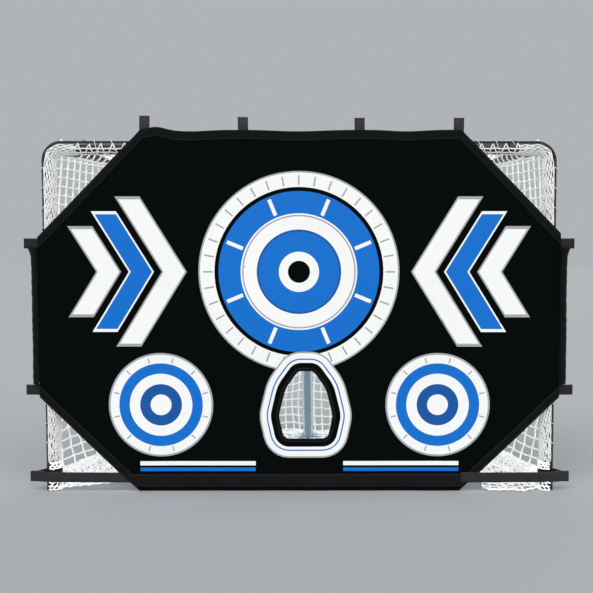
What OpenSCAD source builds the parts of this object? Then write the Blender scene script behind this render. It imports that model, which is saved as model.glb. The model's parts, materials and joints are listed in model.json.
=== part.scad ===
// Ice hockey goal of steel tube, with its netting and a fabric shooting target.
// X runs along the goal mouth, +Y points to the back of the goal and +Z is up.
// The origin lies on the ground, under the middle of the goal's overall box.

/* [Goal frame] */
// Clear width between the two posts
opening_w = 1829; // [1400:1:2100]
// Overall height of the frame
frame_h = 1320; // [1100:1:1500]
// Outside diameter of the frame tube
tube_d = 50.8; // [42:0.1:60]
// Wall thickness of the frame tube
tube_wall = 2; // [1.5:0.1:3]
// Centreline radius of the two top corners
corner_bend_r = 50; // [45:1:80]
// Horizontal arm of each corner, from the post's axis to the crossbar joint
corner_arm = 150; // [140:1:220]
// Depth from the posts to the rear ground tube, axis to axis
base_depth = 890; // [700:1:1100]
// Depth from the crossbar to the upper rear tube, axis to axis
shelf_depth = 480; // [350:1:600]
// Angle by which the side tubes turn inward from straight back
side_angle = 15; // [6:0.5:20]
// Centreline radius of the rear corners
rear_bend_r = 60; // [50:1:110]
// Least straight arm of a side tube at the back, from its bend to the plug joint
rear_arm = 106; // [90:1:160]

/* [Joints of the frame] */
// Length of tube that plugs into its neighbour
plug_l = 66; // [50:1:80]
// Length of the cone that leads down to a plug
swage_l = 5; // [3:0.5:10]
// Shoulder left between a post and a tube on its spigot
spigot_gap = 2; // [1:0.5:6]
// Bolt diameter
bolt_d = 6; // [5:0.5:7]
// Bolt head and nut width across the flats
bolt_flats = 10; // [8:0.5:11]
// Bolt head and nut height
bolt_head_h = 4; // [3:0.5:5]
// Bolt end that shows past the nut
bolt_tail = 1.5; // [0.5:0.5:2]
// Thickness of a post's end cap under the tube
cap_t = 3; // [2:0.5:6]
// Depth of the end cap's plug inside the tube
cap_plug_l = 14; // [8:1:20]

/* [Netting] */
// Thickness of the netting
net_t = 3.5; // [2.5:0.1:5]
// Width of a strand
strand_w = 5; // [3:0.5:8]
// Width of the netting's border cord
net_border = 8; // [6:0.5:14]
// Meshes across the top, and from front to back
top_mesh = [20, 5]; // [4:1:24]
// Meshes across the back, and up it
back_mesh = [18, 15]; // [4:1:18]
// Meshes from front to back of a side, and up it
side_mesh = [8, 15]; // [4:1:16]
// How far the side and back netting reaches below the axis of the ground tubes
net_drop = 6; // [2:0.5:10]
// Diameter of the lacing cord
lace_d = 4; // [3:0.1:5]
// Turns of lacing along the crossbar
crossbar_turns = 40; // [20:2:40]
// Turns of lacing up each post
post_turns = 24; // [12:1:24]
// Height at which the post lacing begins
post_lace_z = 108; // [104:1:200]
// Bare tube between the lacing and a top corner's bend
lace_margin = 40; // [20:1:80]

/* [Shooting target] */
// Thickness of the target fabric
fabric_t = 2; // [1:0.1:3]
// Thickness of the hems and bindings sewn on it
trim_t = 1.5; // [0.8:0.1:2.5]
// Fabric that stands out past each post
side_over = 10; // [4:1:30]
// Fabric that stands up past the crossbar
top_over = 34; // [20:1:60]
// Height of the fabric's lower edge over the ground
bottom_z = 1.5; // [0:0.5:20]
// Upper corner cut-outs, across and down
top_cut = [365, 374]; // [200:1:450]
// Lower corner cut-outs, across and up
bottom_cut = [371, 359]; // [200:1:450]
// Height of the top hem
hem_w = 34; // [20:1:50]
// Width of the bindings along the corner cut-outs
binding_w = 29; // [15:1:40]
// Lower edge and height of the bottom band
bottom_band_z = [17, 50]; // [10:1:60]
// Sideways place of the low opening's middle
low_hole_x = 24; // [-60:1:60]
// Height of the low opening's lower edge
low_hole_z = 201; // [120:1:260]
// Height of the low opening
low_hole_h = 258; // [180:1:320]
// Greatest width of the low opening
low_hole_w = 194; // [140:1:240]
// Width of the binding round the low opening
hole_binding_w = 12; // [6:1:20]
// How far a side flap stands out from the panel's edge
flap_out = 28; // [22:1:45]

/* [Straps] */
// Width of the webbing
strap_w = 38; // [25:1:50]
// Thickness of the webbing
strap_t = 1.6; // [1:0.1:2.5]
// Sideways place of the inner top straps
inner_strap_x = 222; // [100:1:300]
// How far an outer top strap's middle lies in from the end of the top edge
outer_strap_in = 13.3; // [5:0.1:60]
// How far the top straps stand up past the fabric
top_tail = 48; // [20:1:80]
// How far the lower and upper side straps lie in from the ends of the straight sides
side_strap_in = [23.5, 45]; // [22:0.5:80]
// How far the side straps stand out past the fabric
side_tail = 56; // [30:1:80]
// Height of the foot straps' middle over the top of the ground tubes
foot_strap_lift = 3.2; // [0:0.1:20]
// How far the foot straps stand out past the fabric
foot_tail = 44; // [30:1:80]
// Length of foot strap that lies on the panel
foot_lap = 52; // [30:1:100]

/* [Hidden] */
$fn = 64;

// Running clearance between neighbours that aren't pressed together
fit = 0.3;
// Overrun of a cutting solid past the face that it cuts
over = 1;
// A bend swells by this, and the straight tube runs this far into it
bend_swell = 0.05;
bend_lap = 0.5;

// Tubes
tube_r = tube_d / 2;
bore_r = tube_r - tube_wall;
plug_r = bore_r - fit;
plug_bore_r = plug_r - tube_wall;
post_x = opening_w / 2 + tube_r;
bar_z = frame_h - tube_r;
ground_z = tube_r;

// The upper side tubes leave the bend of the corner, this far round it
shelf_exit = 18;
shelf_x = post_x - corner_bend_r * (1 - sin(shelf_exit));
spigot_start = tube_r + spigot_gap;
// The upper side tubes are cut square, so their inner edge sets where they start
shelf_start = (spigot_start + tube_r * sin(side_angle)) / cos(side_angle);

// The two rear tubes are alike, and come in steps of this half length
rear_step = 20;
rear_corner_x = min(post_x - base_depth * tan(side_angle),
                    shelf_x - shelf_depth * tan(side_angle));
rear_tangent = rear_bend_r * tan((90 - side_angle) / 2);
rear_joint_x = rear_step * floor((rear_corner_x - rear_tangent - rear_arm) / rear_step);

// Lacing: eight points to a turn, so the cord's inner edge clears the tube between them
turn_points = 8;
lace_r = lace_d / 2;
lace_path_r = (tube_r + fit) / cos(180 / turn_points) + lace_r;
lace_out_r = lace_path_r + lace_r;
crossbar_lace_x = post_x - corner_bend_r - lace_margin;
crossbar_pitch = 2 * crossbar_lace_x / crossbar_turns;
post_lace_top = bar_z - corner_bend_r - lace_margin / 2;
post_pitch = (post_lace_top - post_lace_z) / post_turns;

// The crossbar joints fall midway between two places where the lacing is at the front
joint_turn = floor((post_x - corner_arm) / crossbar_pitch);
crossbar_joint_x = (joint_turn + 0.5) * crossbar_pitch;
crossbar_bolt_x = (joint_turn + 1) * crossbar_pitch;

// Straps go round the lacing, and the panel hangs in front of the straps
strap_in_r = lace_out_r + fit;
strap_out_r = strap_in_r + strap_t;
strap_reach = strap_out_r * 1.75;
strap_lean = 18;
panel_back = strap_out_r + fit;
panel_front = panel_back + fabric_t;
trim_back = panel_front + fit;
trim_front = trim_back + trim_t;
foot_back = trim_front + fit;
foot_front = foot_back + strap_t;

// Panel outline
panel_half_w = post_x + tube_r + side_over;
panel_top = frame_h + top_over;

// Straps: the places of their middles
top_strap_x = [inner_strap_x, panel_half_w - top_cut[0] - outer_strap_in];
side_strap_z = [bottom_z + bottom_cut[1] + side_strap_in[0],
                panel_top - top_cut[1] - side_strap_in[1]];
foot_strap_z = tube_d + foot_strap_lift;

// Rise of the back from the ground tube to the upper rear tube
back_rise = bar_z - ground_z;
back_run = base_depth - shelf_depth;
back_lean = atan(back_run / back_rise);
back_len = norm([back_rise, back_run]);
// Inward lean of the sides, because the upper side tubes start inboard of the posts
side_lean = atan((post_x - shelf_x) * cos(side_angle) / back_rise);

// Netting lies on the outside of the tubes
net_in = tube_r + fit;
net_out = net_in + net_t;
back_net_top = (frame_h - ground_z - net_out * sin(back_lean)) / cos(back_lean);
side_net_top = (frame_h - ground_z - net_out * sin(side_lean)) / cos(side_lean);
side_net_front = strap_out_r + fit;
top_net_front = sqrt(pow(strap_out_r, 2) - pow(net_in, 2)) + fit;
back_joint = fit;

// Depth of the whole goal, and the place of the goal line in it
rear_extent = base_depth + net_out * cos(back_lean) + net_drop * sin(back_lean);
goal_y = (foot_front - rear_extent) / 2;

// Bolts: [place, direction of the head, angle of the head above the outward side]
shelf_roll = 135;
base_roll = 140;

function unit(v) = v / norm(v);
function mirrored_x(p) = [-p.x, p.y, p.z];

// Heading of the right-hand side tubes, and the outward side square to it
side_dir = [-sin(side_angle), cos(side_angle), 0];
side_out = [cos(side_angle), sin(side_angle), 0];

// Right-hand bolts of the frame, each as [place, direction of the head]
function rolled(out, roll) = cos(roll) * out + [0, 0, sin(roll)];
bolt_seat = spigot_start + plug_l / 2;
shelf_bolt_seat = shelf_start + plug_l / 2;
rear_bolt_x = rear_joint_x + plug_l / 2;
crossbar_bolt = [[crossbar_bolt_x, 0, bar_z], [0, 0, 1]];
base_front_bolt = [[post_x, 0, ground_z] + bolt_seat * side_dir, rolled(side_out, base_roll)];
shelf_front_bolt = [[shelf_x, 0, bar_z] + shelf_bolt_seat * side_dir,
                    rolled(side_out, shelf_roll)];
base_rear_bolt = [[rear_bolt_x, base_depth, ground_z], rolled([0, 1, 0], base_roll)];
shelf_rear_bolt = [[rear_bolt_x, shelf_depth, bar_z], rolled([0, 1, 0], shelf_roll)];
paired_bolts = [crossbar_bolt, base_front_bolt, shelf_front_bolt, base_rear_bolt, shelf_rear_bolt];

// Line of the centre post, from the ground tube up to the upper rear tube
post_foot = [0, base_depth, ground_z];
post_head = [0, shelf_depth, bar_z];
post_dir = unit(post_head - post_foot);
center_low_bolt = [post_foot + bolt_seat * post_dir, [1, 0, 0]];
center_high_bolt = [post_head - bolt_seat * post_dir, [1, 0, 0]];
center_bolts = [center_low_bolt, center_high_bolt];

FRONT_PAINT = [0.15, 0.1, 0.115];
REAR_PAINT = [0.42, 0.52, 0.57];
ZINC = [0.62, 0.63, 0.65];
CAP_BLACK = [0.05, 0.05, 0.055];
NET_WHITE = [0.93, 0.94, 0.94];
FABRIC_BLACK = [0.03, 0.04, 0.045];
TRIM_BLACK = [0.1, 0.1, 0.11];
WEBBING = [0.16, 0.14, 0.17];

// ---- helpers ----

// Turns the local Z axis to a direction, at a place
module aim(place, dir) {
    translate(place)
        rotate([0, acos(dir.z / norm(dir)), atan2(dir.y, dir.x)])
            children();
}

// Solid rod between two points
module rod(from, to, r) {
    aim(from, to - from) cylinder(r = r, h = norm(to - from));
}

// Everything is drawn from the goal line and then moved to the overall box's middle
module placed() {
    translate([0, goal_y, 0]) children();
}

module left_hand() {
    mirror([1, 0, 0]) children();
}

// Quarter-turn or less of a bent rod, in the XY plane, from angle zero
module bent_rod(bend_r, r, turn) {
    rotate_extrude(angle = turn) translate([bend_r, 0]) circle(r = r + bend_swell);
}

module bolt_hole(bolt) {
    aim(bolt[0], bolt[1])
        cylinder(d = bolt_d + 2 * fit, h = 3 * tube_r, center = true);
}

// Tube along X with swaged ends, as one profile turned round its axis
module swaged_tube(half_l) {
    tip = half_l + plug_l;
    rotate([0, 90, 0])
        rotate_extrude()
            polygon([
                [bore_r, swage_l - half_l], [plug_bore_r, -half_l], [plug_bore_r, -tip],
                [plug_r, -tip], [plug_r, -half_l], [tube_r, swage_l - half_l],
                [tube_r, half_l - swage_l], [plug_r, half_l], [plug_r, tip],
                [plug_bore_r, tip], [plug_bore_r, half_l], [bore_r, half_l - swage_l]
            ]);
}

// Short tube welded on, which the next tube slides over; coped by what is given as children
module spigot(place, dir, start) {
    difference() {
        aim(place, dir)
            difference() {
                cylinder(r = plug_r, h = start + plug_l);
                translate([0, 0, -over]) cylinder(r = plug_bore_r, h = start + plug_l + 2 * over);
            }
        children();
    }
}

// ---- posts and crossbar ----

// Rod along a right-hand post, round its corner and along the arm
module post_path(r, foot_z, arm_x) {
    bend_x = post_x - corner_bend_r;
    bend_z = bar_z - corner_bend_r;
    rod([post_x, 0, foot_z], [post_x, 0, bend_z + bend_lap], r);
    translate([bend_x, 0, bend_z]) rotate([90, 0, 0]) bent_rod(corner_bend_r, r, 90);
    rod([bend_x + bend_lap, 0, bar_z], [arm_x, 0, bar_z], r);
}

module post() {
    foot_z = cap_t + fit;
    arm_x = crossbar_joint_x + fit;
    cope_r = tube_r - tube_wall / 2;
    difference() {
        union() {
            difference() {
                post_path(tube_r, foot_z, arm_x);
                post_path(bore_r, foot_z - over, arm_x - over);
            }
            difference() {
                spigot([post_x, 0, ground_z], side_dir, spigot_start)
                    post_path(cope_r, 0, arm_x);
                translate([post_x, 0, 0]) cylinder(r = tube_r + fit, h = foot_z);
            }
            spigot([shelf_x, 0, bar_z], side_dir, shelf_start)
                post_path(cope_r, foot_z, arm_x);
        }
        bolt_hole(crossbar_bolt);
        bolt_hole(base_front_bolt);
        bolt_hole(shelf_front_bolt);
    }
}

module post_cap() {
    translate([post_x, 0, 0])
        difference() {
            union() {
                cylinder(r = tube_r, h = cap_t);
                cylinder(r = plug_r, h = cap_t + cap_plug_l);
            }
            translate([0, 0, cap_t])
                cylinder(r = plug_bore_r, h = cap_plug_l + over);
        }
}

module right_post() {
    color(FRONT_PAINT) placed() post();
}

module left_post() {
    color(FRONT_PAINT) placed() left_hand() post();
}

module crossbar() {
    color(FRONT_PAINT) placed()
        difference() {
            translate([0, 0, bar_z]) swaged_tube(crossbar_joint_x);
            bolt_hole(crossbar_bolt);
            left_hand() bolt_hole(crossbar_bolt);
        }
}

module right_post_cap() {
    color(CAP_BLACK) placed() post_cap();
}

module left_post_cap() {
    color(CAP_BLACK) placed() left_hand() post_cap();
}

// ---- ground tubes, upper rear tubes and centre post ----

// Rod that runs back from a post at start_x, bends and ends along the rear at joint_x
module side_path(r, start_x, depth, level, start, joint_x) {
    turn = 90 - side_angle;
    corner = [start_x - depth * tan(side_angle), depth, level];
    bend_start = corner - rear_tangent * side_dir;
    bend_mid = bend_start - rear_bend_r * side_out;
    rod([start_x, 0, level] + start * side_dir, bend_start + bend_lap * side_dir, r);
    translate(bend_mid) rotate([0, 0, side_angle]) bent_rod(rear_bend_r, r, turn);
    rod([corner.x - rear_tangent + bend_lap, depth, level], [joint_x, depth, level], r);
}

module side_tube(start_x, depth, level, start) {
    joint_x = rear_joint_x + fit;
    difference() {
        side_path(tube_r, start_x, depth, level, start, joint_x);
        side_path(bore_r, start_x, depth, level, start - over, joint_x - over);
    }
}

module base_side() {
    difference() {
        side_tube(post_x, base_depth, ground_z, spigot_start);
        bolt_hole(base_front_bolt);
        bolt_hole(base_rear_bolt);
    }
}

module shelf_side() {
    difference() {
        side_tube(shelf_x, shelf_depth, bar_z, shelf_start);
        bolt_hole(shelf_front_bolt);
        bolt_hole(shelf_rear_bolt);
    }
}

// Rear tube with a spigot for the centre post
module rear_tube(place, dir, end_bolt, post_bolt) {
    difference() {
        union() {
            translate(place) swaged_tube(rear_joint_x);
            spigot(place, dir, spigot_start)
                translate(place) rotate([0, 90, 0])
                    cylinder(r = tube_r - tube_wall / 2, h = 4 * tube_d, center = true);
        }
        bolt_hole(end_bolt);
        left_hand() bolt_hole(end_bolt);
        bolt_hole(post_bolt);
    }
}

module base_right() {
    color(REAR_PAINT) placed() base_side();
}

module base_left() {
    color(REAR_PAINT) placed() left_hand() base_side();
}

module base_rear() {
    color(REAR_PAINT) placed() rear_tube(post_foot, post_dir, base_rear_bolt, center_low_bolt);
}

module shelf_right() {
    color(REAR_PAINT) placed() shelf_side();
}

module shelf_left() {
    color(REAR_PAINT) placed() left_hand() shelf_side();
}

module shelf_rear() {
    color(REAR_PAINT) placed() rear_tube(post_head, -post_dir, shelf_rear_bolt, center_high_bolt);
}

module center_post() {
    low = post_foot + spigot_start * post_dir;
    high = post_head - spigot_start * post_dir;
    color(REAR_PAINT) placed()
        difference() {
            rod(low, high, tube_r);
            rod(low - over * post_dir, high + over * post_dir, bore_r);
            for (bolt = center_bolts) bolt_hole(bolt);
        }
}

// ---- fasteners ----

module hexagon(h) {
    cylinder(d = bolt_flats / cos(30), h = h, $fn = 6);
}

module bolt(place, dir) {
    seat = tube_r + fit;
    shank = 2 * seat + bolt_head_h + bolt_tail;
    aim(place, dir) {
        translate([0, 0, seat]) hexagon(bolt_head_h);
        translate([0, 0, seat - shank]) cylinder(d = bolt_d, h = shank + over);
    }
}

module nut(place, dir) {
    aim(place, dir)
        translate([0, 0, -tube_r - fit - bolt_head_h])
            difference() {
                hexagon(bolt_head_h);
                translate([0, 0, -over])
                    cylinder(d = bolt_d + fit, h = bolt_head_h + 2 * over);
            }
}

module frame_bolts() {
    color(ZINC) placed() {
        for (b = paired_bolts) {
            bolt(b[0], b[1]);
            left_hand() bolt(b[0], b[1]);
        }
        for (b = center_bolts) bolt(b[0], b[1]);
    }
}

module frame_nuts() {
    color(ZINC) placed() {
        for (b = paired_bolts) {
            nut(b[0], b[1]);
            left_hand() nut(b[0], b[1]);
        }
        for (b = center_bolts) nut(b[0], b[1]);
    }
}

// ---- netting ----

// Point of a four-cornered net; the corners run round from the lower left
function net_at(c, u, v) =
    (1 - v) * ((1 - u) * c[0] + u * c[1]) + v * ((1 - u) * c[3] + u * c[2]);

// The corners moved in by the border
function net_inside(c, inset) =
    let (low = inset / norm(c[1] - c[0]), high = inset / norm(c[2] - c[3]),
         left = inset / norm(c[3] - c[0]), right = inset / norm(c[2] - c[1]))
    [net_at(c, low, left), net_at(c, 1 - low, right), net_at(c, 1 - high, 1 - right),
     net_at(c, high, 1 - left)];

// Flat net of cols by rows open meshes, whose strands fan with the outline
module net(corners, mesh) {
    field = net_inside(corners, net_border - strand_w / 2);
    linear_extrude(net_t)
        difference() {
            polygon(corners);
            for (i = [0 : mesh[0] - 1], j = [0 : mesh[1] - 1]) {
                v_half = strand_w * mesh[1] / norm(field[3] - field[0]) / 2;
                v0 = (j + v_half) / mesh[1];
                v1 = (j + 1 - v_half) / mesh[1];
                wide = norm(net_at(field, 1, (v0 + v1) / 2) - net_at(field, 0, (v0 + v1) / 2));
                u_half = strand_w * mesh[0] / wide / 2;
                u0 = (i + u_half) / mesh[0];
                u1 = (i + 1 - u_half) / mesh[0];
                polygon([net_at(field, u0, v0), net_at(field, u1, v0),
                         net_at(field, u1, v1), net_at(field, u0, v1)]);
            }
        }
}

module net_top() {
    side_reach = (net_out - net_in * sin(side_lean)) / cos(side_lean) / cos(side_angle);
    rear_y = shelf_depth + (net_out - net_in * sin(back_lean)) / cos(back_lean);
    front_x = shelf_x + side_reach - top_net_front * tan(side_angle);
    rear_x = shelf_x + side_reach - rear_y * tan(side_angle);
    color(NET_WHITE) placed()
        translate([0, 0, frame_h + fit])
            net([[-front_x, top_net_front], [front_x, top_net_front],
                 [rear_x, rear_y], [-rear_x, rear_y]], top_mesh);
}

// Half width of the back net at a height up its slope: out to the side net's outer face
function back_half(h) =
    let (up = h * cos(back_lean) + net_in * sin(back_lean),
         y = base_depth - h * sin(back_lean) + net_in * cos(back_lean))
    post_x - up * tan(side_lean) / cos(side_angle)
        + net_out / cos(side_lean) / cos(side_angle) - y * tan(side_angle);

module net_back() {
    low = back_half(-net_drop);
    high = back_half(back_net_top);
    color(NET_WHITE) placed()
        translate(post_foot) rotate([90 + back_lean, 0, 0]) translate([0, 0, -net_out])
            net([[-low, -net_drop], [low, -net_drop],
                 [high, back_net_top], [-high, back_net_top]], back_mesh);
}

// Where a side net meets the back net, at a height up its own slope
function side_rear(h) =
    let (up = h * cos(side_lean) + net_out * sin(side_lean),
         y = base_depth + (net_in - back_joint - up * sin(back_lean)) / cos(back_lean))
    (y + h * sin(side_lean) * sin(side_angle) - net_out * cos(side_lean) * sin(side_angle))
        / cos(side_angle);

module side_net() {
    translate([post_x, 0, ground_z]) rotate([0, 0, 90 + side_angle]) rotate([-side_lean, 0, 0])
        rotate([90, 0, 0]) translate([0, 0, net_in])
            net([[side_net_front, -net_drop], [side_rear(-net_drop), -net_drop],
                 [side_rear(side_net_top), side_net_top], [side_net_front, side_net_top]],
                side_mesh);
}

module net_right() {
    color(NET_WHITE) placed() side_net();
}

module net_left() {
    color(NET_WHITE) placed() left_hand() side_net();
}

// Centre line of a lacing of so many turns round the Z axis, from height zero
function lace_path(turns, pitch) =
    [for (i = [0 : turns * turn_points - 1])
        let (a = 360 * (i + 0.5) / turn_points)
        [lace_path_r * sin(a), -lace_path_r * cos(a), pitch * (i + 0.5) / turn_points]];

// Least distance between neighbouring turns, less the cord's thickness
function lace_gap(path) =
    min([for (i = [0 : len(path) - turn_points - 4], k = [-3 : 3])
        norm(path[i + turn_points + k] - path[i])]) - lace_d;

// Cord of six sides along a lacing's centre line
module lacing(turns, pitch) {
    sides = 6;
    path = lace_path(turns, pitch);
    last = len(path) - 1;
    along = unit([2 * PI * lace_path_r, pitch]);
    points = [
        for (i = [0 : last], k = [0 : sides - 1])
            let (a = 360 * (i + 0.5) / turn_points,
                 out = [sin(a), -cos(a), 0],
                 ahead = [cos(a) * along[0], sin(a) * along[0], along[1]],
                 turn = 360 * k / sides)
            path[i] + lace_r * (cos(turn) * out + sin(turn) * cross(ahead, out))
    ];
    walls = [
        for (i = [0 : last - 1], k = [0 : sides - 1])
            let (a = i * sides + k, b = i * sides + (k + 1) % sides)
            each [[a, b + sides, a + sides], [a, b, b + sides]]
    ];
    ends = [
        for (k = [1 : sides - 2])
            each [[0, k + 1, k], [last * sides, last * sides + k, last * sides + k + 1]]
    ];
    polyhedron(points, concat(walls, ends));
    echo(str("lacing turns ", turns, ", least gap to itself ", lace_gap(path), " mm"));
}

module crossbar_lacing() {
    color(NET_WHITE) placed()
        translate([-crossbar_lace_x, 0, bar_z]) rotate([0, 90, 0])
            lacing(crossbar_turns, crossbar_pitch);
}

module post_lacing() {
    translate([post_x, 0, post_lace_z]) lacing(post_turns, post_pitch);
}

module right_post_lacing() {
    color(NET_WHITE) placed() post_lacing();
}

module left_post_lacing() {
    color(NET_WHITE) placed() left_hand() post_lacing();
}

// ---- target panel and its trims ----

// Stands a flat outline up, facing the front, with its back at a distance before the goal line
module upright(back, t) {
    translate([0, -back, 0]) rotate([90, 0, 0]) linear_extrude(t) children();
}

// Arc of points that rounds corner b, between a and c
function rounded(a, b, c, r, steps) =
    let (u = unit(a - b), v = unit(c - b), half = acos(u * v) / 2,
         mid = b + unit(u + v) * r / sin(half),
         from = b + u * r / tan(half) - mid, start = atan2(from.y, from.x),
         sweep = (180 - 2 * half) * sign(cross(c - b, a - b)))
    [for (i = [0 : steps]) mid + r * [cos(start + sweep * i / steps),
                                      sin(start + sweep * i / steps)]];

// Low opening: a blunt egg, each corner as [across, up, radius], grown by an amount
low_hole_corners = [
    [0.43, 0, 26], [0.53, 0.34, 70], [0.4, 0.74, 120], [0.15, 1, 22],
    [-0.15, 1, 22], [-0.4, 0.74, 120], [-0.53, 0.34, 70], [-0.43, 0, 26]
];
function low_hole_corner(i) =
    let (k = (i + len(low_hole_corners)) % len(low_hole_corners), c = low_hole_corners[k])
    [low_hole_x + c[0] * low_hole_w, low_hole_z + c[1] * low_hole_h];
function low_hole_grown(i, grow) =
    let (b = low_hole_corner(i), u = unit(low_hole_corner(i - 1) - b),
         v = unit(low_hole_corner(i + 1) - b))
    b - unit(u + v) * grow / sin(acos(u * v) / 2);
function low_hole_outline(grow) =
    [for (i = [0 : len(low_hole_corners) - 1])
        each rounded(low_hole_grown(i - 1, grow), low_hole_grown(i, grow),
                     low_hole_grown(i + 1, grow), low_hole_corners[i][2] + grow, 6)];

// Right-hand end points of the corner cut-outs
top_cut_a = [panel_half_w - top_cut[0], panel_top];
top_cut_b = [panel_half_w, panel_top - top_cut[1]];
bottom_cut_a = [panel_half_w, bottom_z + bottom_cut[1]];
bottom_cut_b = [panel_half_w - bottom_cut[0], bottom_z];

module panel_2d() {
    right = [bottom_cut_b, bottom_cut_a, top_cut_b, top_cut_a];
    left = [for (i = [3 : -1 : 0]) [-right[i].x, right[i].y]];
    polygon(concat(right, left));
}

// Strip inside the straight edge from a to b, with its ends along the panel's edges
module edge_strip_2d(a, b, w) {
    inward = unit([a.y - b.y, b.x - a.x]);
    long = unit(b - a) * w;
    intersection() {
        panel_2d();
        polygon([a - long, b + long, b + long + w * inward, a - long + w * inward]);
    }
}

module band_2d(z0, h) {
    translate([-panel_half_w - over, z0]) square([2 * (panel_half_w + over), h]);
}

module target_panel() {
    color(FABRIC_BLACK) placed() upright(panel_back, fabric_t)
        difference() {
            panel_2d();
            polygon(low_hole_outline(0));
        }
}

module top_hem() {
    color(TRIM_BLACK) placed() upright(trim_back, trim_t)
        intersection() {
            panel_2d();
            band_2d(panel_top - hem_w, hem_w + over);
        }
}

module bottom_band() {
    color(WEBBING) placed() upright(trim_back, trim_t)
        intersection() {
            panel_2d();
            band_2d(bottom_band_z[0], bottom_band_z[1]);
        }
}

module top_binding() {
    upright(trim_back, trim_t)
        difference() {
            edge_strip_2d(top_cut_b, top_cut_a, binding_w);
            band_2d(panel_top - hem_w - fit, hem_w + 2 * over);
        }
}

module bottom_binding() {
    upright(trim_back, trim_t)
        difference() {
            edge_strip_2d(bottom_cut_b, bottom_cut_a, binding_w);
            band_2d(-over, bottom_band_z[0] + bottom_band_z[1] + over + fit);
        }
}

module binding_top_right() {
    color(TRIM_BLACK) placed() top_binding();
}

module binding_top_left() {
    color(TRIM_BLACK) placed() left_hand() top_binding();
}

module binding_bottom_right() {
    color(TRIM_BLACK) placed() bottom_binding();
}

module binding_bottom_left() {
    color(TRIM_BLACK) placed() left_hand() bottom_binding();
}

module low_hole_binding() {
    color(TRIM_BLACK) placed() upright(trim_back, trim_t)
        difference() {
            polygon(low_hole_outline(hole_binding_w));
            polygon(low_hole_outline(0));
        }
}

// Flap from the panel's edge, out and round beside the post
module flap() {
    steps = 14;
    r = flap_out + 3;
    mid = [panel_half_w - 3, r - panel_front];
    from = -acos((3 + fit) / r);
    to = 96;
    low = side_strap_z[0] + strap_w / 2 + 3;
    high = side_strap_z[1] - strap_w / 2 - 3;
    arc = [for (i = [0 : steps]) from + (to - from) * i / steps];
    outer = [for (a = arc) mid + r * [cos(a), sin(a)]];
    inner = [for (i = [steps : -1 : 0])
        mid + (r - fabric_t) * [cos(arc[i]), sin(arc[i])]];
    translate([0, 0, low]) linear_extrude(high - low) polygon(concat(outer, inner));
}

module right_flap() {
    color(FABRIC_BLACK) placed() flap();
}

module left_flap() {
    color(FABRIC_BLACK) placed() left_hand() flap();
}

// ---- straps ----

// Teardrop outline: most of a circle, drawn out to a point on +X
function drop(r, reach, steps = 26) =
    let (grip = acos(r / reach))
    concat([[reach, 0]],
           [for (i = [0 : steps])
               let (a = grip + (360 - 2 * grip) * i / steps) r * [cos(a), sin(a)]]);

// Strap seen along its width: a loop round the tube and a double tail out to tail_end on +X
module strap_2d(tail_end) {
    apex = strap_reach * [cos(strap_lean), -sin(strap_lean)];
    difference() {
        union() {
            rotate(-strap_lean) polygon(drop(strap_out_r, strap_reach));
            translate([apex.x - strap_t, apex.y - strap_t])
                square([tail_end - apex.x + strap_t, 2 * strap_t]);
        }
        rotate(-strap_lean)
            polygon(drop(strap_in_r, strap_reach * strap_in_r / strap_out_r));
    }
}

module top_strap(x) {
    translate([x, 0, bar_z]) rotate([0, -90, 0])
        linear_extrude(strap_w, center = true) strap_2d(tube_r + top_over + top_tail);
}

module side_strap(z) {
    translate([post_x, 0, z])
        linear_extrude(strap_w, center = true) strap_2d(tube_r + side_over + side_tail);
}

// Foot strap: the loop, and a run across the open corner onto the panel, all cut by a
// slanted slab so that the loop rises over the ground tube behind the post
module foot_strap() {
    slope = 17;
    lap_x = bottom_cut_b.x + foot_strap_z * bottom_cut[0] / bottom_cut[1];
    run_end = lap_x - foot_lap - post_x;
    bend_at = lap_x + strap_w - post_x;
    slab = strap_w * cos(slope);
    tall = 5 * strap_w;
    translate([post_x, 0, 0])
        intersection() {
            linear_extrude(tall) {
                strap_2d(tube_r + side_over + foot_tail);
                polygon([[0, -strap_in_r - strap_t / 4], [bend_at, -foot_back],
                         [run_end, -foot_back], [run_end, -foot_front],
                         [bend_at, -foot_front], [0, -strap_out_r]]);
            }
            translate([0, -foot_back, foot_strap_z]) rotate([slope, 0, 0])
                cube([4 * panel_half_w, 8 * strap_out_r, slab], center = true);
        }
}

module top_strap_outer_left() {
    color(WEBBING) placed() top_strap(-top_strap_x[1]);
}

module top_strap_inner_left() {
    color(WEBBING) placed() top_strap(-top_strap_x[0]);
}

module top_strap_inner_right() {
    color(WEBBING) placed() top_strap(top_strap_x[0]);
}

module top_strap_outer_right() {
    color(WEBBING) placed() top_strap(top_strap_x[1]);
}

module right_upper_strap() {
    color(WEBBING) placed() side_strap(side_strap_z[1]);
}

module right_lower_strap() {
    color(WEBBING) placed() side_strap(side_strap_z[0]);
}

module left_upper_strap() {
    color(WEBBING) placed() left_hand() side_strap(side_strap_z[1]);
}

module left_lower_strap() {
    color(WEBBING) placed() left_hand() side_strap(side_strap_z[0]);
}

module right_foot_strap() {
    color(WEBBING) placed() foot_strap();
}

module left_foot_strap() {
    color(WEBBING) placed() left_hand() foot_strap();
}

left_post();
right_post();
crossbar();
left_post_cap();
right_post_cap();
shelf_left();
shelf_right();
shelf_rear();
base_left();
base_right();
base_rear();
center_post();
frame_bolts();
frame_nuts();
net_top();
net_back();
net_left();
net_right();
crossbar_lacing();
left_post_lacing();
right_post_lacing();
target_panel();
top_hem();
bottom_band();
binding_top_left();
binding_top_right();
binding_bottom_left();
binding_bottom_right();
low_hole_binding();
left_flap();
right_flap();
top_strap_outer_left();
top_strap_inner_left();
top_strap_inner_right();
top_strap_outer_right();
left_upper_strap();
left_lower_strap();
right_upper_strap();
right_lower_strap();
left_foot_strap();
right_foot_strap();
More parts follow.
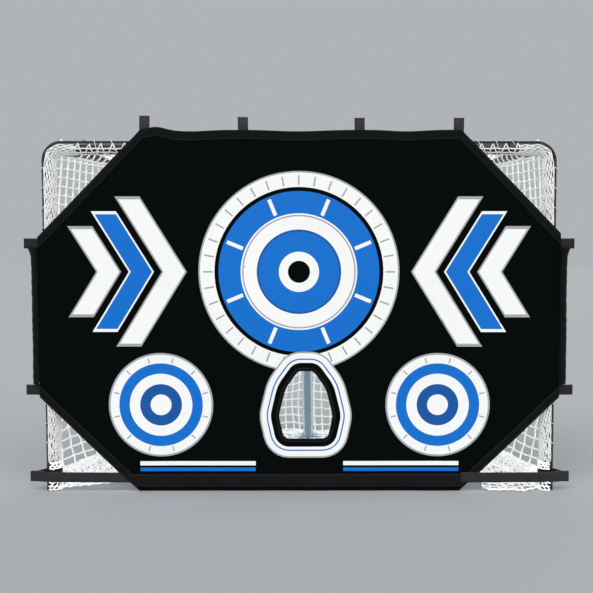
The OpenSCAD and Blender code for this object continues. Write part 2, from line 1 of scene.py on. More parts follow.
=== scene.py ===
"""Looks of an ice hockey goal: painted tube, knotted netting and a fabric shooting target."""

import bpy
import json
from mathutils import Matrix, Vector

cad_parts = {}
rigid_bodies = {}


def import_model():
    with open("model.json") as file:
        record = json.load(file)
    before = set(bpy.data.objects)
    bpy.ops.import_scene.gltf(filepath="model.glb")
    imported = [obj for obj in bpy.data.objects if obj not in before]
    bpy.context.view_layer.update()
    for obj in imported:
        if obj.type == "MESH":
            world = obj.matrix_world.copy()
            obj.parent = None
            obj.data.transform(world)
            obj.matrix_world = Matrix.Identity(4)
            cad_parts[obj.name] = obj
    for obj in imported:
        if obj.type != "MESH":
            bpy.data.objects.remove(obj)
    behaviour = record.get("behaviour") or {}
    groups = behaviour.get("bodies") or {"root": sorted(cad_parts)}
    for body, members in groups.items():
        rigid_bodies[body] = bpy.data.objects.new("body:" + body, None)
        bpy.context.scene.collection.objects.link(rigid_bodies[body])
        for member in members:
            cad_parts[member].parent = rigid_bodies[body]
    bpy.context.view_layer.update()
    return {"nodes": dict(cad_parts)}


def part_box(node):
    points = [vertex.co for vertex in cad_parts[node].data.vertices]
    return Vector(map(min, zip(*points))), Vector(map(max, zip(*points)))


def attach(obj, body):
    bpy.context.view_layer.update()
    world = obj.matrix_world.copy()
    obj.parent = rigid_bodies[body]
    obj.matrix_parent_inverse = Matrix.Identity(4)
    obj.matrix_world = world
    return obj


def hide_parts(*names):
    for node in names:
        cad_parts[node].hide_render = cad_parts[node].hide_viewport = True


bl_info = {
    "name": "Ice Hockey Goal Looks",
    "version": (1, 0, 0),
    "blender": (4, 5, 0),
    "location": "3D View > Sidebar > Goal",
    "description": "Paint, netting, printed fabric and straps of an ice hockey goal",
    "category": "Object",
}

import json
import math
import random
from functools import cache, partial
from itertools import accumulate, groupby

import bpy
import numpy as np
from bpy.props import FloatProperty, FloatVectorProperty, IntProperty, PointerProperty
from mathutils import Vector, noise
from mathutils.geometry import delaunay_2d_cdt

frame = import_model()
BODY = "root"
SIDES = ((1, "right"), (-1, "left"))
UP = np.array([0.0, 0.0, 1.0])
TURN = 2 * math.pi

# ---- places taken from the frame, in metres ----

BAR_LOW, BAR_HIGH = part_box("crossbar")
TUBE_R = (BAR_HIGH.z - BAR_LOW.z) / 2
BAR_Z = (BAR_HIGH.z + BAR_LOW.z) / 2
GOAL_Y = (BAR_HIGH.y + BAR_LOW.y) / 2
CAP_LOW, CAP_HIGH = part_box("right_post_cap")
POST_X = (CAP_LOW.x + CAP_HIGH.x) / 2
SHELF_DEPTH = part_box("shelf_rear")[0].y + TUBE_R - GOAL_Y
BASE_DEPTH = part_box("base_rear")[1].y - TUBE_R - GOAL_Y
PANEL_LOW, PANEL_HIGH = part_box("target_panel")
PANEL_Y = (PANEL_LOW.y + PANEL_HIGH.y) / 2
LACE_LOW, LACE_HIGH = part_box("right_post_lacing")
BAR_LACE_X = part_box("crossbar_lacing")[1].x

# How the side tubes run: inward turn, rear bend, start of the upper tubes, and the first mesh
SIDE_ANGLE = math.radians(15)
REAR_BEND_R = 0.060
SHELF_X = POST_X - 0.0345
HEAD_START = 0.036

# How far the top net's front edge is tucked down behind the crossbar, how deep its middle
# sags, and the pitch of the cord that is wound round the upper tubes
TUCK = 0.016
TOP_SAG = 0.080
SEAM_PITCH = 0.044

# Free air between a strand and the tubes, and between a strand and the floor
TUBE_GAP = 0.0004
FLOOR_GAP = 0.0006

# Corner cut-outs of the panel, across and high; the cloth hangs a little uneven at the top
TOP_CUT = {1: (0.371, 0.382), -1: (0.388, 0.397)}
BOTTOM_CUT = (0.371, 0.359)


def linear(red, green, blue):
    """A screen colour in 8-bit steps, as a shader takes it."""
    return tuple(
        (c / 255 / 12.92) if c <= 10 else ((c / 255 + 0.055) / 1.055) ** 2.4
        for c in (red, green, blue)
    )


def colour_property(name, description, rgb):
    return FloatVectorProperty(
        name=name, description=description, default=linear(*rgb), subtype="COLOR",
        size=3, min=0.0, max=1.0,
    )


def length_property(name, description, default):
    return FloatProperty(
        name=name, description=description, default=default, min=0.0, unit="LENGTH",
        subtype="DISTANCE", precision=4,
    )


def count_property(name, description, default, low=4):
    return IntProperty(name=name, description=description, default=default, min=low)


class GoalColours(bpy.types.PropertyGroup):
    front_paint: colour_property("Front Paint", "Posts and crossbar", (24, 14, 17))
    plating: colour_property("Plating", "Ground tubes and centre post", (196, 222, 234))
    zinc: colour_property("Zinc", "Bolts and nuts", (176, 178, 182))
    cap: colour_property("Caps", "Plastic caps under the posts", (24, 24, 26))
    twine: colour_property("Twine", "Netting and lacing", (250, 251, 250))
    fabric: colour_property("Fabric", "Ground of the target", (2, 5, 5))
    hem: colour_property("Hem", "Hems and bindings", (14, 16, 16))
    webbing: colour_property("Webbing", "Straps", (28, 25, 30))
    ink_white: colour_property("White Ink", "White of the print", (246, 247, 246))
    ink_blue: colour_property("Blue Ink", "Blue of the print", (0, 110, 204))
    ink_deep: colour_property("Deep Blue Ink", "Darker blue of the print", (12, 84, 160))
    ink_grey: colour_property("Grey Ink", "Grey lines of the print", (166, 167, 168))
    floor: colour_property("Floor", "Floor and backdrop", (176, 180, 183))


class GoalNetting(bpy.types.PropertyGroup):
    twine_d: length_property("Twine", "Thickness of the net's twine", 0.0070)
    lace_d: length_property("Lacing", "Thickness of the lacing cord", 0.0044)
    border_d: length_property("Border", "Thickness of the border cord", 0.0050)
    side_slack: length_property("Side Slack", "How far the side nets stand out", 0.070)
    rear_slack: length_property("Rear Slack", "How far the back net stands out", 0.020)
    side_columns: count_property("Side Meshes", "Meshes along a side", 9)
    corner_columns: count_property("Corner Meshes", "Meshes round a corner", 3, 1)
    rear_columns: count_property("Rear Meshes", "Meshes in half the back", 19)
    wall_rows: count_property("Wall Rows", "Meshes up a wall", 34)
    top_columns: count_property("Top Meshes", "Meshes across the top", 43)
    top_rows: count_property("Top Rows", "Meshes from front to back", 11, 2)
    seed: IntProperty(name="Seed", description="Seed of the net's slack", default=11)


class GoalTarget(bpy.types.PropertyGroup):
    cloth_t: length_property("Fabric", "Thickness of the panel", 0.0014)
    trim_t: length_property("Trim", "Thickness of hems and bindings", 0.0013)
    trim_lift: length_property("Trim Lift", "Panel's middle to a trim's middle", 0.0016)
    mesh_step: length_property("Mesh Step", "Spacing of the panel's mesh", 0.014)
    stitch: length_property("Stitch", "Length of a stitch", 0.0045)
    stitch_gap: length_property("Stitch Gap", "Gap between stitches", 0.0025)
    strap_w: length_property("Strap Width", "Width of the webbing", 0.038)
    strap_t: length_property("Strap Thickness", "Thickness of the webbing", 0.0016)


# ---- helpers: objects and meshes ----


def deselect_all():
    bpy.ops.object.select_all(action="DESELECT")


def object_from(name, points, faces, uvs):
    """A smooth mesh object from points, faces and, for each face, its corners' UV places."""
    mesh = bpy.data.meshes.new(name)
    mesh.from_pydata([tuple(p) for p in points], [], faces)
    layer = mesh.uv_layers.new(name="UVMap")
    layer.data.foreach_set("uv", np.asarray(uvs, dtype=np.float32).ravel())
    mesh.polygons.foreach_set("use_smooth", [True] * len(mesh.polygons))
    piece = bpy.data.objects.new(name, mesh)
    bpy.context.scene.collection.objects.link(piece)
    return piece


def face_toward(sheet, x, y, index=0):
    """Turns a sheet over if its face at index looks away from the direction (x, y)."""
    if sheet.data.polygons[index].normal.dot(Vector((x, y, 0))) < 0:
        sheet.data.flip_normals()


def solidified(sheet, thickness):
    """Gives a sheet its thickness, half of it to each side."""
    modifier = sheet.modifiers.new("Thickness", "SOLIDIFY")
    modifier.thickness = thickness
    modifier.offset = 0.0
    deselect_all()
    sheet.select_set(True)
    bpy.context.view_layer.objects.active = sheet
    bpy.ops.object.modifier_apply(modifier=modifier.name)
    return sheet


def coat(piece, material):
    """Gives a piece one material alone."""
    piece.data.materials.clear()
    piece.data.materials.append(material)


def finish_piece(piece, material, slot, *replaced):
    if material is not None:
        coat(piece, material)
    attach(piece, BODY)
    if replaced:
        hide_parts(*replaced)


def sheet_grid(name, rows, wrap=False):
    """A quad sheet from rows of (point, u, v); wrap joins the last row to the first."""
    cells = [cell for row in rows for cell in row]
    width = len(rows[0])
    faces = []
    for i in range(len(rows) if wrap else len(rows) - 1):
        for k in range(width - 1):
            a, b = i * width + k, (i + 1) % len(rows) * width + k
            faces.append((a, a + 1, b + 1, b))
    uvs = [cells[corner][1:] for face in faces for corner in face]
    return object_from(name, [cell[0] for cell in cells], faces, uvs)


class Strands:
    """Round strands and knots, gathered into one mesh."""

    def __init__(self, sides=6):
        self.sides = sides
        self.points = []
        self.faces = []
        self.uvs = []
        self.count = 0

    def add(self, path, outs, radius):
        """One strand along a path; outs is a direction, or one for each point, across it."""
        path = np.asarray(path, dtype=float)
        outs = np.broadcast_to(np.asarray(outs, dtype=float), path.shape)
        ahead = np.gradient(path, axis=0)
        ahead /= np.linalg.norm(ahead, axis=1, keepdims=True)
        out = outs - (outs * ahead).sum(axis=1, keepdims=True) * ahead
        out /= np.linalg.norm(out, axis=1, keepdims=True)
        n = self.sides
        turn = TURN * np.arange(n) / n
        ring = (np.cos(turn)[None, :, None] * out[:, None, :]
                + np.sin(turn)[None, :, None] * np.cross(ahead, out)[:, None, :])
        self.points.append((path[:, None, :] + radius * ring).reshape(-1, 3))
        steps = np.linalg.norm(np.diff(path, axis=0), axis=1)
        along = np.concatenate([[0.0], np.cumsum(steps)])
        for i in range(len(path) - 1):
            a, b = self.count + i * n, self.count + (i + 1) * n
            for k in range(n):
                j = (k + 1) % n
                self.faces.append((a + k, a + j, b + j, b + k))
                self.uvs += [(along[i], k / n), (along[i], (k + 1) / n),
                             (along[i + 1], (k + 1) / n), (along[i + 1], k / n)]
        last = self.count + (len(path) - 1) * n
        self.faces += [tuple(reversed(range(self.count, self.count + n))),
                       tuple(range(last, last + n))]
        self.uvs += [(end, k / n) for end in (0.0, along[-1]) for k in range(n)]
        self.count += len(path) * n

    def add_pairs(self, pairs, radius):
        """One strand through pairs of a place and the direction across the strand there."""
        self.add(*zip(*pairs), radius)

    def add_runs(self, pairs, radius, keep):
        """The parts of a strand where keep says yes to the place."""
        for kept, run in groupby(pairs, lambda pair: bool(keep(pair[0]))):
            run = list(run)
            if kept and len(run) > 2:
                self.add_pairs(run, radius)

    def add_knots(self, places, radius):
        """A small knot at each place, each turned a little further."""
        ball, ball_faces = knot_form()
        for index, place in enumerate(places):
            cos, sin = math.cos(1.7 * index), math.sin(1.7 * index)
            spin = np.array([[cos, -sin, 0], [sin, cos, 0], [0, 0, 1]])
            self.points.append(np.asarray(place) + radius * ball @ spin.T)
            for face in ball_faces:
                self.faces.append(tuple(self.count + k for k in face))
                self.uvs += [(0.0, 0.1), (0.002, 0.5), (0.004, 0.9)]
            self.count += len(ball)

    def piece(self, name):
        return object_from(name, np.concatenate(self.points), self.faces, self.uvs)


@cache
def knot_form():
    """Corners and faces of one knot: a slightly flattened ball."""
    deselect_all()
    bpy.ops.mesh.primitive_ico_sphere_add(subdivisions=1, radius=1.0)
    ball = bpy.context.active_object
    ball.scale = (1.0, 1.0, 0.82)
    bpy.ops.object.transform_apply(scale=True)
    points = np.array([v.co for v in ball.data.vertices])
    faces = [tuple(f.vertices) for f in ball.data.polygons]
    bpy.data.objects.remove(ball)
    return points, faces


def drift(x, y, z):
    """Smooth noise between -1 and 1 at a place."""
    return noise.noise(Vector((x, y, z)))


def jitter(chance, width):
    """A draw within half a width of 0."""
    return width * (chance.random() - 0.5)


def smooth_step(value, low, high):
    """Rises softly from 0 at low to 1 at high."""
    t = min(1.0, max(0.0, (value - low) / (high - low)))
    return t * t * (3 - 2 * t)


def bell(value, middle, width):
    """1 at the middle, and almost 0 two widths away from it."""
    return math.exp(-((value - middle) / width) ** 2)


# ---- helpers: materials ----


def join(value, socket):
    """Links a socket to another node's output, or sets its plain value or colour."""
    if isinstance(value, bpy.types.NodeSocket):
        socket.id_data.links.new(value, socket)
    else:
        socket.default_value = (*value, 1.0) if socket.type == "RGBA" else value


def connect(node, **inputs):
    """Links or sets a node's inputs, each written with underscores for its spaces."""
    for key, value in inputs.items():
        join(value, node.inputs[key.replace("_", " ")])
    return node


def add_node(tree, kind, **inputs):
    return connect(tree.nodes.new(kind), **inputs)


def new_material(name, colour, roughness, **inputs):
    material = bpy.data.materials.new(name)
    material.use_nodes = True
    shader = material.node_tree.nodes["Principled BSDF"]
    return material, connect(shader, Base_Color=colour, Roughness=roughness, **inputs)


def object_place(shader):
    return shader.id_data.nodes.new("ShaderNodeTexCoord").outputs["Object"]


def axes_of(place):
    return add_node(place.id_data, "ShaderNodeSeparateXYZ", Vector=place).outputs


def uv_axes(shader):
    """X runs along a cord or strap, and Y across or round it."""
    node = shader.id_data.nodes.new("ShaderNodeUVMap")
    node.uv_map = "UVMap"
    return axes_of(node.outputs["UV"])


def noise_on(place, scale, detail=3.0, roughness=0.55):
    return add_node(place.id_data, "ShaderNodeTexNoise", Vector=place, Scale=scale,
                    Detail=detail, Roughness=roughness).outputs["Fac"]


def value_range(source, low, high, from_low=0.0, from_high=1.0):
    return add_node(source.id_data, "ShaderNodeMapRange", Value=source, From_Min=from_low,
                    From_Max=from_high, To_Min=low, To_Max=high).outputs["Result"]


def colour_mix(factor, first, second):
    node = add_node(factor.id_data, "ShaderNodeMix", Factor=factor)
    node.data_type = "RGBA"
    colours = [socket for socket in node.inputs if socket.type == "RGBA"]
    for value, socket in zip((first, second), colours):
        join(value, socket)
    return [socket for socket in node.outputs if socket.type == "RGBA"][0]


def calculate(operation, *values):
    node = values[0].id_data.nodes.new("ShaderNodeMath")
    node.operation = operation
    for value, socket in zip(values, node.inputs):
        join(value, socket)
    return node.outputs["Value"]


def ridges(coordinate, pitch):
    """Waves that come round once in each pitch along a coordinate."""
    return calculate("SINE", calculate("MULTIPLY", coordinate, TURN / pitch))


def add_bump(shader, height, strength, distance, **before):
    bump = add_node(shader.id_data, "ShaderNodeBump", Strength=strength, Distance=distance,
                    Height=height, **before)
    connect(shader, Normal=bump.outputs["Normal"])
    return bump.outputs["Normal"]


def shade(colour, factor):
    return tuple(min(1.0, c * factor) for c in colour)


def enamel(name, colour, gloss, chip_colour, metal=0.0):
    """Paint on steel tube: a soft orange peel, faint scuffs and a few worn specks."""
    material, shader = new_material(name, colour, gloss, Metallic=metal, Coat_Weight=0.18,
                                    Coat_Roughness=0.12, Specular_IOR_Level=0.4)
    place = object_place(shader)
    base = colour_mix(noise_on(place, 5.0), shade(colour, 0.84), shade(colour, 1.16))
    scuffs = noise_on(place, 46.0, 8.0, 0.72)
    base = colour_mix(value_range(scuffs, 0.0, 0.55, 0.60, 0.72), base, chip_colour)
    connect(shader, Base_Color=base,
            Roughness=value_range(scuffs, gloss * 0.7, gloss * 1.7, 0.3, 0.75))
    add_bump(shader, noise_on(place, 420.0, 2.0), 0.12, 0.0006)
    return material


def zinc_plate(colour):
    material, shader = new_material("Zinc Plate", colour, 0.34, Metallic=1.0)
    bloom = noise_on(object_place(shader), 260.0, 4.0)
    connect(shader, Base_Color=colour_mix(bloom, shade(colour, 0.72), shade(colour, 1.1)),
            Roughness=value_range(bloom, 0.24, 0.5))
    return material


def moulded_plastic(colour):
    """Grained plastic with a little dust."""
    material, shader = new_material("Moulded Plastic", colour, 0.5)
    place = object_place(shader)
    dust = value_range(noise_on(place, 30.0, 5.0), 0.0, 0.35, 0.5, 0.8)
    connect(shader, Base_Color=colour_mix(dust, colour, (0.16, 0.155, 0.15)))
    add_bump(shader, noise_on(place, 900.0), 0.3, 0.0003)
    return material


def twisted_cord(name, colour, lay):
    """White twine: its three yarns' lay as slanted ridges with painted shade in the grooves, and a
    little dirt.
    """
    material, shader = new_material(name, colour, 0.62, Sheen_Weight=0.25, Sheen_Roughness=0.5,
                                    Subsurface_Weight=0.3, Subsurface_Radius=(1.0, 1.0, 1.0),
                                    Subsurface_Scale=0.003)
    axes = uv_axes(shader)
    along = calculate("MULTIPLY", axes["X"], TURN / lay)
    around = calculate("MULTIPLY", axes["Y"], TURN * 3)
    ridge = calculate("SINE", calculate("ADD", along, around))
    dirt = value_range(noise_on(object_place(shader), 7.0, 5.0), 0.0, 0.75, 0.42, 0.78)
    base = colour_mix(dirt, colour, shade(colour, 0.8))
    # Painted shade: the grooves between the yarns are darkened toward a darker copy of the twine
    # colour.
    painted_groove_shade = value_range(ridge, 0.28, 0.0, -1.0, -0.2)
    connect(shader, Base_Color=colour_mix(painted_groove_shade, base, shade(colour, 0.62)))
    add_bump(shader, ridge, 0.5, 0.0004)
    return material


def woven_cloth(name, colour, thread, sheen=0.008, rough=0.85, gloss=0.06, slub_and_painted_sheen=1.0):
    """Plain weave on the panel's plane: warp and weft ridges with a faint slub, and broad lighter
    patches of painted sheen.
    """
    material, shader = new_material(name, colour, rough, Sheen_Weight=sheen,
                                    Sheen_Roughness=0.45, Specular_IOR_Level=gloss)
    place = object_place(shader)
    axes = axes_of(place)
    weave = calculate("MULTIPLY", ridges(axes["X"], thread), ridges(axes["Z"], thread))
    slub = value_range(noise_on(place, 55.0, 6.0, 0.65), 0.0, 1.0, 0.3, 0.7)
    base = colour_mix(slub, shade(colour, 1 - 0.14 * slub_and_painted_sheen), shade(colour, 1 + 0.10 * slub_and_painted_sheen))
    # Painted sheen: broad, soft patches where the colour is lightened, standing in for the cloth's
    # sheen.
    painted_sheen_patches = value_range(noise_on(place, 2.4), 0.0, 0.5, 0.4, 0.7)
    connect(shader, Base_Color=colour_mix(painted_sheen_patches, base, shade(colour, 1 + 0.22 * slub_and_painted_sheen)))
    crinkle = add_bump(shader, noise_on(place, 24.0, 4.0, 0.5), 0.22, 0.004)
    add_bump(shader, weave, 0.25, 0.0003, Normal=crinkle)
    return material


def ribbed_webbing(name, colour):
    """Strap webbing: ribs across, cords along, worn fuzz and a soft sheen."""
    material, shader = new_material(name, colour, 0.66, Sheen_Weight=0.12,
                                    Specular_IOR_Level=0.35)
    axes = uv_axes(shader)
    weave = calculate("MULTIPLY", ridges(axes["X"], RIB), ridges(axes["Y"], RIB * 1.3))
    place = object_place(shader)
    fuzz = value_range(noise_on(place, 150.0, 6.0, 0.7), 0.0, 1.0, 0.3, 0.7)
    base = colour_mix(fuzz, shade(colour, 0.75), shade(colour, 1.2))
    worn = value_range(noise_on(place, 14.0, 4.0), 0.0, 0.5, 0.45, 0.7)
    connect(shader, Base_Color=colour_mix(worn, base, shade(colour, 1.6)))
    add_bump(shader, weave, 0.5, 0.0005)
    return material


def sewing_thread():
    material, shader = new_material("Sewing Thread", (0.035, 0.036, 0.038), 0.5)
    fleck = noise_on(object_place(shader), 300.0)
    connect(shader, Base_Color=colour_mix(fleck, (0.02, 0.02, 0.022), (0.07, 0.07, 0.074)))
    return material


# ---- netting ----


def unit(v):
    v = np.asarray(v, dtype=float)
    return v / np.linalg.norm(v)


def half_round(sizes):
    """Meshes from a post to the middle of the back."""
    return sizes.side_columns + sizes.corner_columns + sizes.rear_columns


def round_tube(out, angle):
    """Direction from a rear tube's axis: angle 0 is outward and a quarter turn is up."""
    return math.cos(angle) * out + math.sin(angle) * UP


def half_outline(start_x, depth, column, sizes):
    """Place and outward direction on a ring of tube, counted in meshes back from the post."""
    tangent = REAR_BEND_R * math.tan((math.pi / 2 - SIDE_ANGLE) / 2)
    corner = np.array([start_x - depth * math.tan(SIDE_ANGLE), depth])
    ahead = np.array([-math.sin(SIDE_ANGLE), math.cos(SIDE_ANGLE)])
    out = np.array([math.cos(SIDE_ANGLE), math.sin(SIDE_ANGLE)])
    if column <= sizes.side_columns:
        side_length = depth / math.cos(SIDE_ANGLE) - tangent
        share = column / sizes.side_columns
        run = HEAD_START + share * (side_length - HEAD_START)
        return np.array([start_x, 0.0]) + run * ahead, out
    column -= sizes.side_columns
    if column <= sizes.corner_columns:
        turn = SIDE_ANGLE + (math.pi / 2 - SIDE_ANGLE) * column / sizes.corner_columns
        around = np.array([math.cos(turn), math.sin(turn)])
        middle = corner - tangent * ahead - REAR_BEND_R * out
        return middle + REAR_BEND_R * around, around
    share = (column - sizes.corner_columns) / sizes.rear_columns
    return np.array([(corner[0] - tangent) * (1 - share), depth]), np.array([0.0, 1.0])


def wall_frame(column, sizes):
    """Low and high tube axis places, and outward direction, at a column round the goal."""
    half = half_round(sizes)
    flip = -1.0 if column > half else 1.0
    count = min(column, 2 * half - column)
    low, low_out = half_outline(POST_X, BASE_DEPTH, count, sizes)
    high, high_out = half_outline(SHELF_X, SHELF_DEPTH, count, sizes)
    out = unit([flip * (low_out[0] + high_out[0]), low_out[1] + high_out[1], 0.0])
    return (np.array([flip * low[0], GOAL_Y + low[1], TUBE_R]),
            np.array([flip * high[0], GOAL_Y + high[1], BAR_Z]), out)


def row_shares(rows):
    """Heights of the rows as shares; the lowest meshes are slack and lie close together."""
    spaces = [1 - 0.40 * math.exp(-j / 1.6) - 0.16 * (j / rows) ** 2 for j in range(rows)]
    total = sum(spaces)
    return [0.0, *accumulate(space / total for space in spaces)]


def wall_points(sizes, chance):
    """Knots up each column of the walls, and the outward direction at each knot."""
    half = half_round(sizes)
    off = TUBE_R + sizes.twine_d / 2 + TUBE_GAP
    columns = []
    for c in range(2 * half + 1):
        low, high, out = wall_frame(c, sizes)
        slope = unit(high - low)
        normal = unit(out - np.dot(out, slope) * slope)
        along = np.cross(slope, normal)
        count = min(c, 2 * half - c)
        loose = max(0.0, 1.0 - max(0, count - sizes.side_columns) / 14) ** 1.5
        pairs = []
        for degrees in (-36, -16):
            tip = round_tube(out, math.radians(degrees))
            pairs.append((low + (off + 0.002 * chance.random()) * tip, tip))
        for j, v in enumerate(row_shares(sizes.wall_rows)):
            belly = math.sin(math.pi * v ** 0.75)
            stand = sizes.rear_slack * belly
            if count <= sizes.side_columns:
                share = count / sizes.side_columns
                stand = sizes.side_slack * belly * math.sin(math.pi * share) ** 0.8
            stand += 0.007 * belly * (0.5 + drift(c * 0.21, v * 3.1, 1.7))
            slack = 0.016 + 0.030 * math.exp(-v * 3)
            shift = slack * drift(c * 0.43, v * 5.2, 7.1)
            shift += jitter(chance, 0.0035)
            shift += 0.0085 * loose * math.exp(-v * 3.2) * (1 if (c + j) % 2 else -1)
            lift = slack * drift(c * 0.37, v * 4.4, 3.3)
            lift += jitter(chance, 0.004)
            inner = math.sin(math.pi * min(1.0, v)) if 0 < j < sizes.wall_rows else 0.0
            place = low + v * (high - low) + (off + max(0.0, stand)) * normal
            pairs.append((place + inner ** 0.4 * (shift * along + lift * slope), normal))
        for degrees in (42, 80):
            tip = round_tube(out, math.radians(degrees))
            pairs.append((high + (off + 0.001) * tip, tip))
        columns.append(pairs)
    knots = np.array(columns)
    return knots[:, :, 0], knots[:, :, 1]


def slack_strand(places, outs, droop, chance, steps=3):
    """Path and directions of a strand through knots that hangs a little between them."""
    pairs = []
    for a, b, out_a, out_b in zip(places, places[1:], outs, outs[1:]):
        down = droop * (0.4 + chance.random())
        sway = (chance.random() - 0.5) * droop * 1.2
        for s in range(steps):
            f = s / steps
            bow = 4 * f * (1 - f)
            out = (1 - f) * out_a + f * out_b
            pairs.append((a + f * (b - a) + bow * (sway * out + np.array([0, 0, -down])), out))
    pairs.append((places[-1], outs[-1]))
    path, directions = zip(*pairs)
    return np.array(path), np.array(directions)


HEAP_DEGREES = (34, 50, 66, 82, 98, 114, 130, 147, 164, 181, 198, 214)


def base_heap(strands, columns, sizes, chance, spread=0.0):
    """Slack net gathered round the ground tube: close rows that ride over its top."""
    radius = sizes.twine_d / 2
    lowest = radius + FLOOR_GAP
    frames = [wall_frame(c, sizes) for c in columns]
    grid = []
    for degrees in HEAP_DEGREES:
        row = []
        for c, (low, high, out) in zip(columns, frames):
            angle = math.radians(degrees + 13 * drift(c * 0.5, degrees * 0.05, 2.2)
                                 + jitter(chance, 7))
            far = TUBE_R + radius + FLOOR_GAP + spread + 0.0065 * chance.random()
            slide = jitter(chance, 0.017)
            tip = round_tube(out, angle)
            place = low + far * tip + slide * np.cross(out, UP)
            place[2] = max(place[2], lowest)
            row.append((place, tip))
        grid.append(row)

    def clear(place):
        """Not inside the foot of the centre post."""
        return abs(place[0]) > 0.040 or place[1] > GOAL_Y + BASE_DEPTH + 0.004

    for cells in grid + [[row[k] for row in grid] for k in range(len(columns))]:
        pairs = []
        for (a, tip_a), (b, tip_b) in zip(cells, cells[1:]):
            for f in (0.0, 0.25, 0.5, 0.75):
                tip = unit((1 - f) * tip_a + f * tip_b)
                wander = jitter(chance, 0.0045) if f else 0.0
                place = a + f * (b - a) + 4 * f * (1 - f) * 0.0022 * tip + wander * UP
                place[2] = max(place[2], lowest)
                pairs.append((place, tip))
        strands.add_runs(pairs + [cells[-1]], radius, clear)
    strands.add_knots([p for row in grid for p, tip in row if clear(p)], sizes.twine_d * 0.85)


def build_wall_net(name, knots, picked, side, sizes, chance):
    """One wall of netting over the picked columns; side is 1 or -1, or 0 at the back."""
    points, normals = knots
    radius = sizes.twine_d / 2
    strands = Strands(5)
    for j in range(points.shape[1]):
        strands.add(*slack_strand(points[picked, j], normals[picked, j], 0.0026, chance), radius)
    for c in picked:
        strands.add(*slack_strand(points[c], normals[c], 0.0012, chance), radius)
    if side:
        edge = picked[0] if side > 0 else picked[-1]
        path, outs = slack_strand(points[edge], normals[edge], 0.0015, chance)
        strands.add(path + 0.0012 * outs, outs, sizes.border_d / 2)
    strands.add_knots(points[picked].reshape(-1, 3), sizes.twine_d * 0.9)
    if side:
        close = [picked[0] + 0.5 * i for i in range(2 * len(picked) - 1)]
        base_heap(strands, close, sizes, chance)
        base_heap(strands, close, sizes, chance, 0.0040)
        floor_slack(strands, side, sizes, chance)
        foot_wrap(strands, side, sizes, chance)
    else:
        base_heap(strands, picked, sizes, chance)
    return strands.piece(name)


def build_top_net(sizes, chance):
    """The shelf of netting over the crossbar and the upper rear tubes."""
    radius = sizes.twine_d / 2
    top_z = BAR_Z + TUBE_R + radius + TUBE_GAP
    front_half = SHELF_X - 0.012
    rear_half = SHELF_X - SHELF_DEPTH * math.tan(SIDE_ANGLE) + 0.004
    columns, rows = sizes.top_columns, sizes.top_rows
    points = np.zeros((columns + 1, rows + 1, 3))
    for i, j in np.ndindex(columns + 1, rows + 1):
        across, back = 2 * i / columns - 1, j / rows
        half = front_half + (rear_half - front_half) * back
        inner = (1 - abs(across) ** 9) * math.sin(math.pi * back)
        sag = TOP_SAG * inner + 0.012 * inner * drift(i * 0.3, j * 0.6, 9.0)
        shift = 0.009 * drift(i * 0.31, j * 0.47, 4.0)
        push = 0.009 * drift(i * 0.29, j * 0.43, 6.0)
        stray = jitter(chance, 0.004)
        points[i, j] = (across * half + inner * (shift + stray),
                        GOAL_Y + 0.027 + back * (SHELF_DEPTH - 0.020) + inner * (push + stray),
                        top_z - sag - (0 if j else TUCK))
    strands = Strands()
    for line in (*points, *points.transpose(1, 0, 2)):
        strands.add(*slack_strand(line, [UP] * len(line), 0.0022, chance), radius)
    strands.add_knots(points.reshape(-1, 3), sizes.twine_d * 0.9)
    seam_lacing(strands, sizes, chance)
    return strands.piece("net_top_mesh")


SEAM_DEGREES = (-110, -84, -60, -36, -14, 8, 32, 58, 86, 112, 140)


def seam_lacing(strands, sizes, chance):
    """Cord wound round the upper side and rear tubes, where top and wall netting meet."""
    radius = sizes.twine_d / 2
    off = TUBE_R + radius + FLOOR_GAP
    last = 2 * half_round(sizes) - 1
    frames = [wall_frame(c, sizes) for c in range(last + 1)]
    pairs = []
    turn = 0.0
    for (_, high, out), (_, next_high, next_out) in zip(frames[1:], frames[2:]):
        pace = np.linalg.norm(next_high - high) / SEAM_PITCH
        steps = max(8, round(9 * pace))
        for s in range(steps):
            f = s / steps
            tip = round_tube(unit((1 - f) * out + f * next_out), turn)
            pairs.append((high + f * (next_high - high) + (off + 0.003) * tip, tip))
            turn += TURN * pace / steps * (0.85 + 0.3 * chance.random())
    strands.add_pairs(pairs, radius)
    for index, degrees in enumerate(SEAM_DEGREES):
        pairs = []
        for c in range(2, last):
            _, high, out = frames[c]
            waver = 0.30 * drift(c * 0.61, index * 3.3, 0.4)
            tip = round_tube(out, math.radians(degrees) + waver)
            pairs.append((high + (off + 0.0025 * chance.random()) * tip, tip))
        cord = zip(*slack_strand(*map(np.array, zip(*pairs)), 0.0, chance, 2))
        strands.add_runs(cord, radius, lambda place: degrees > -30 or abs(place[0]) > 0.034)


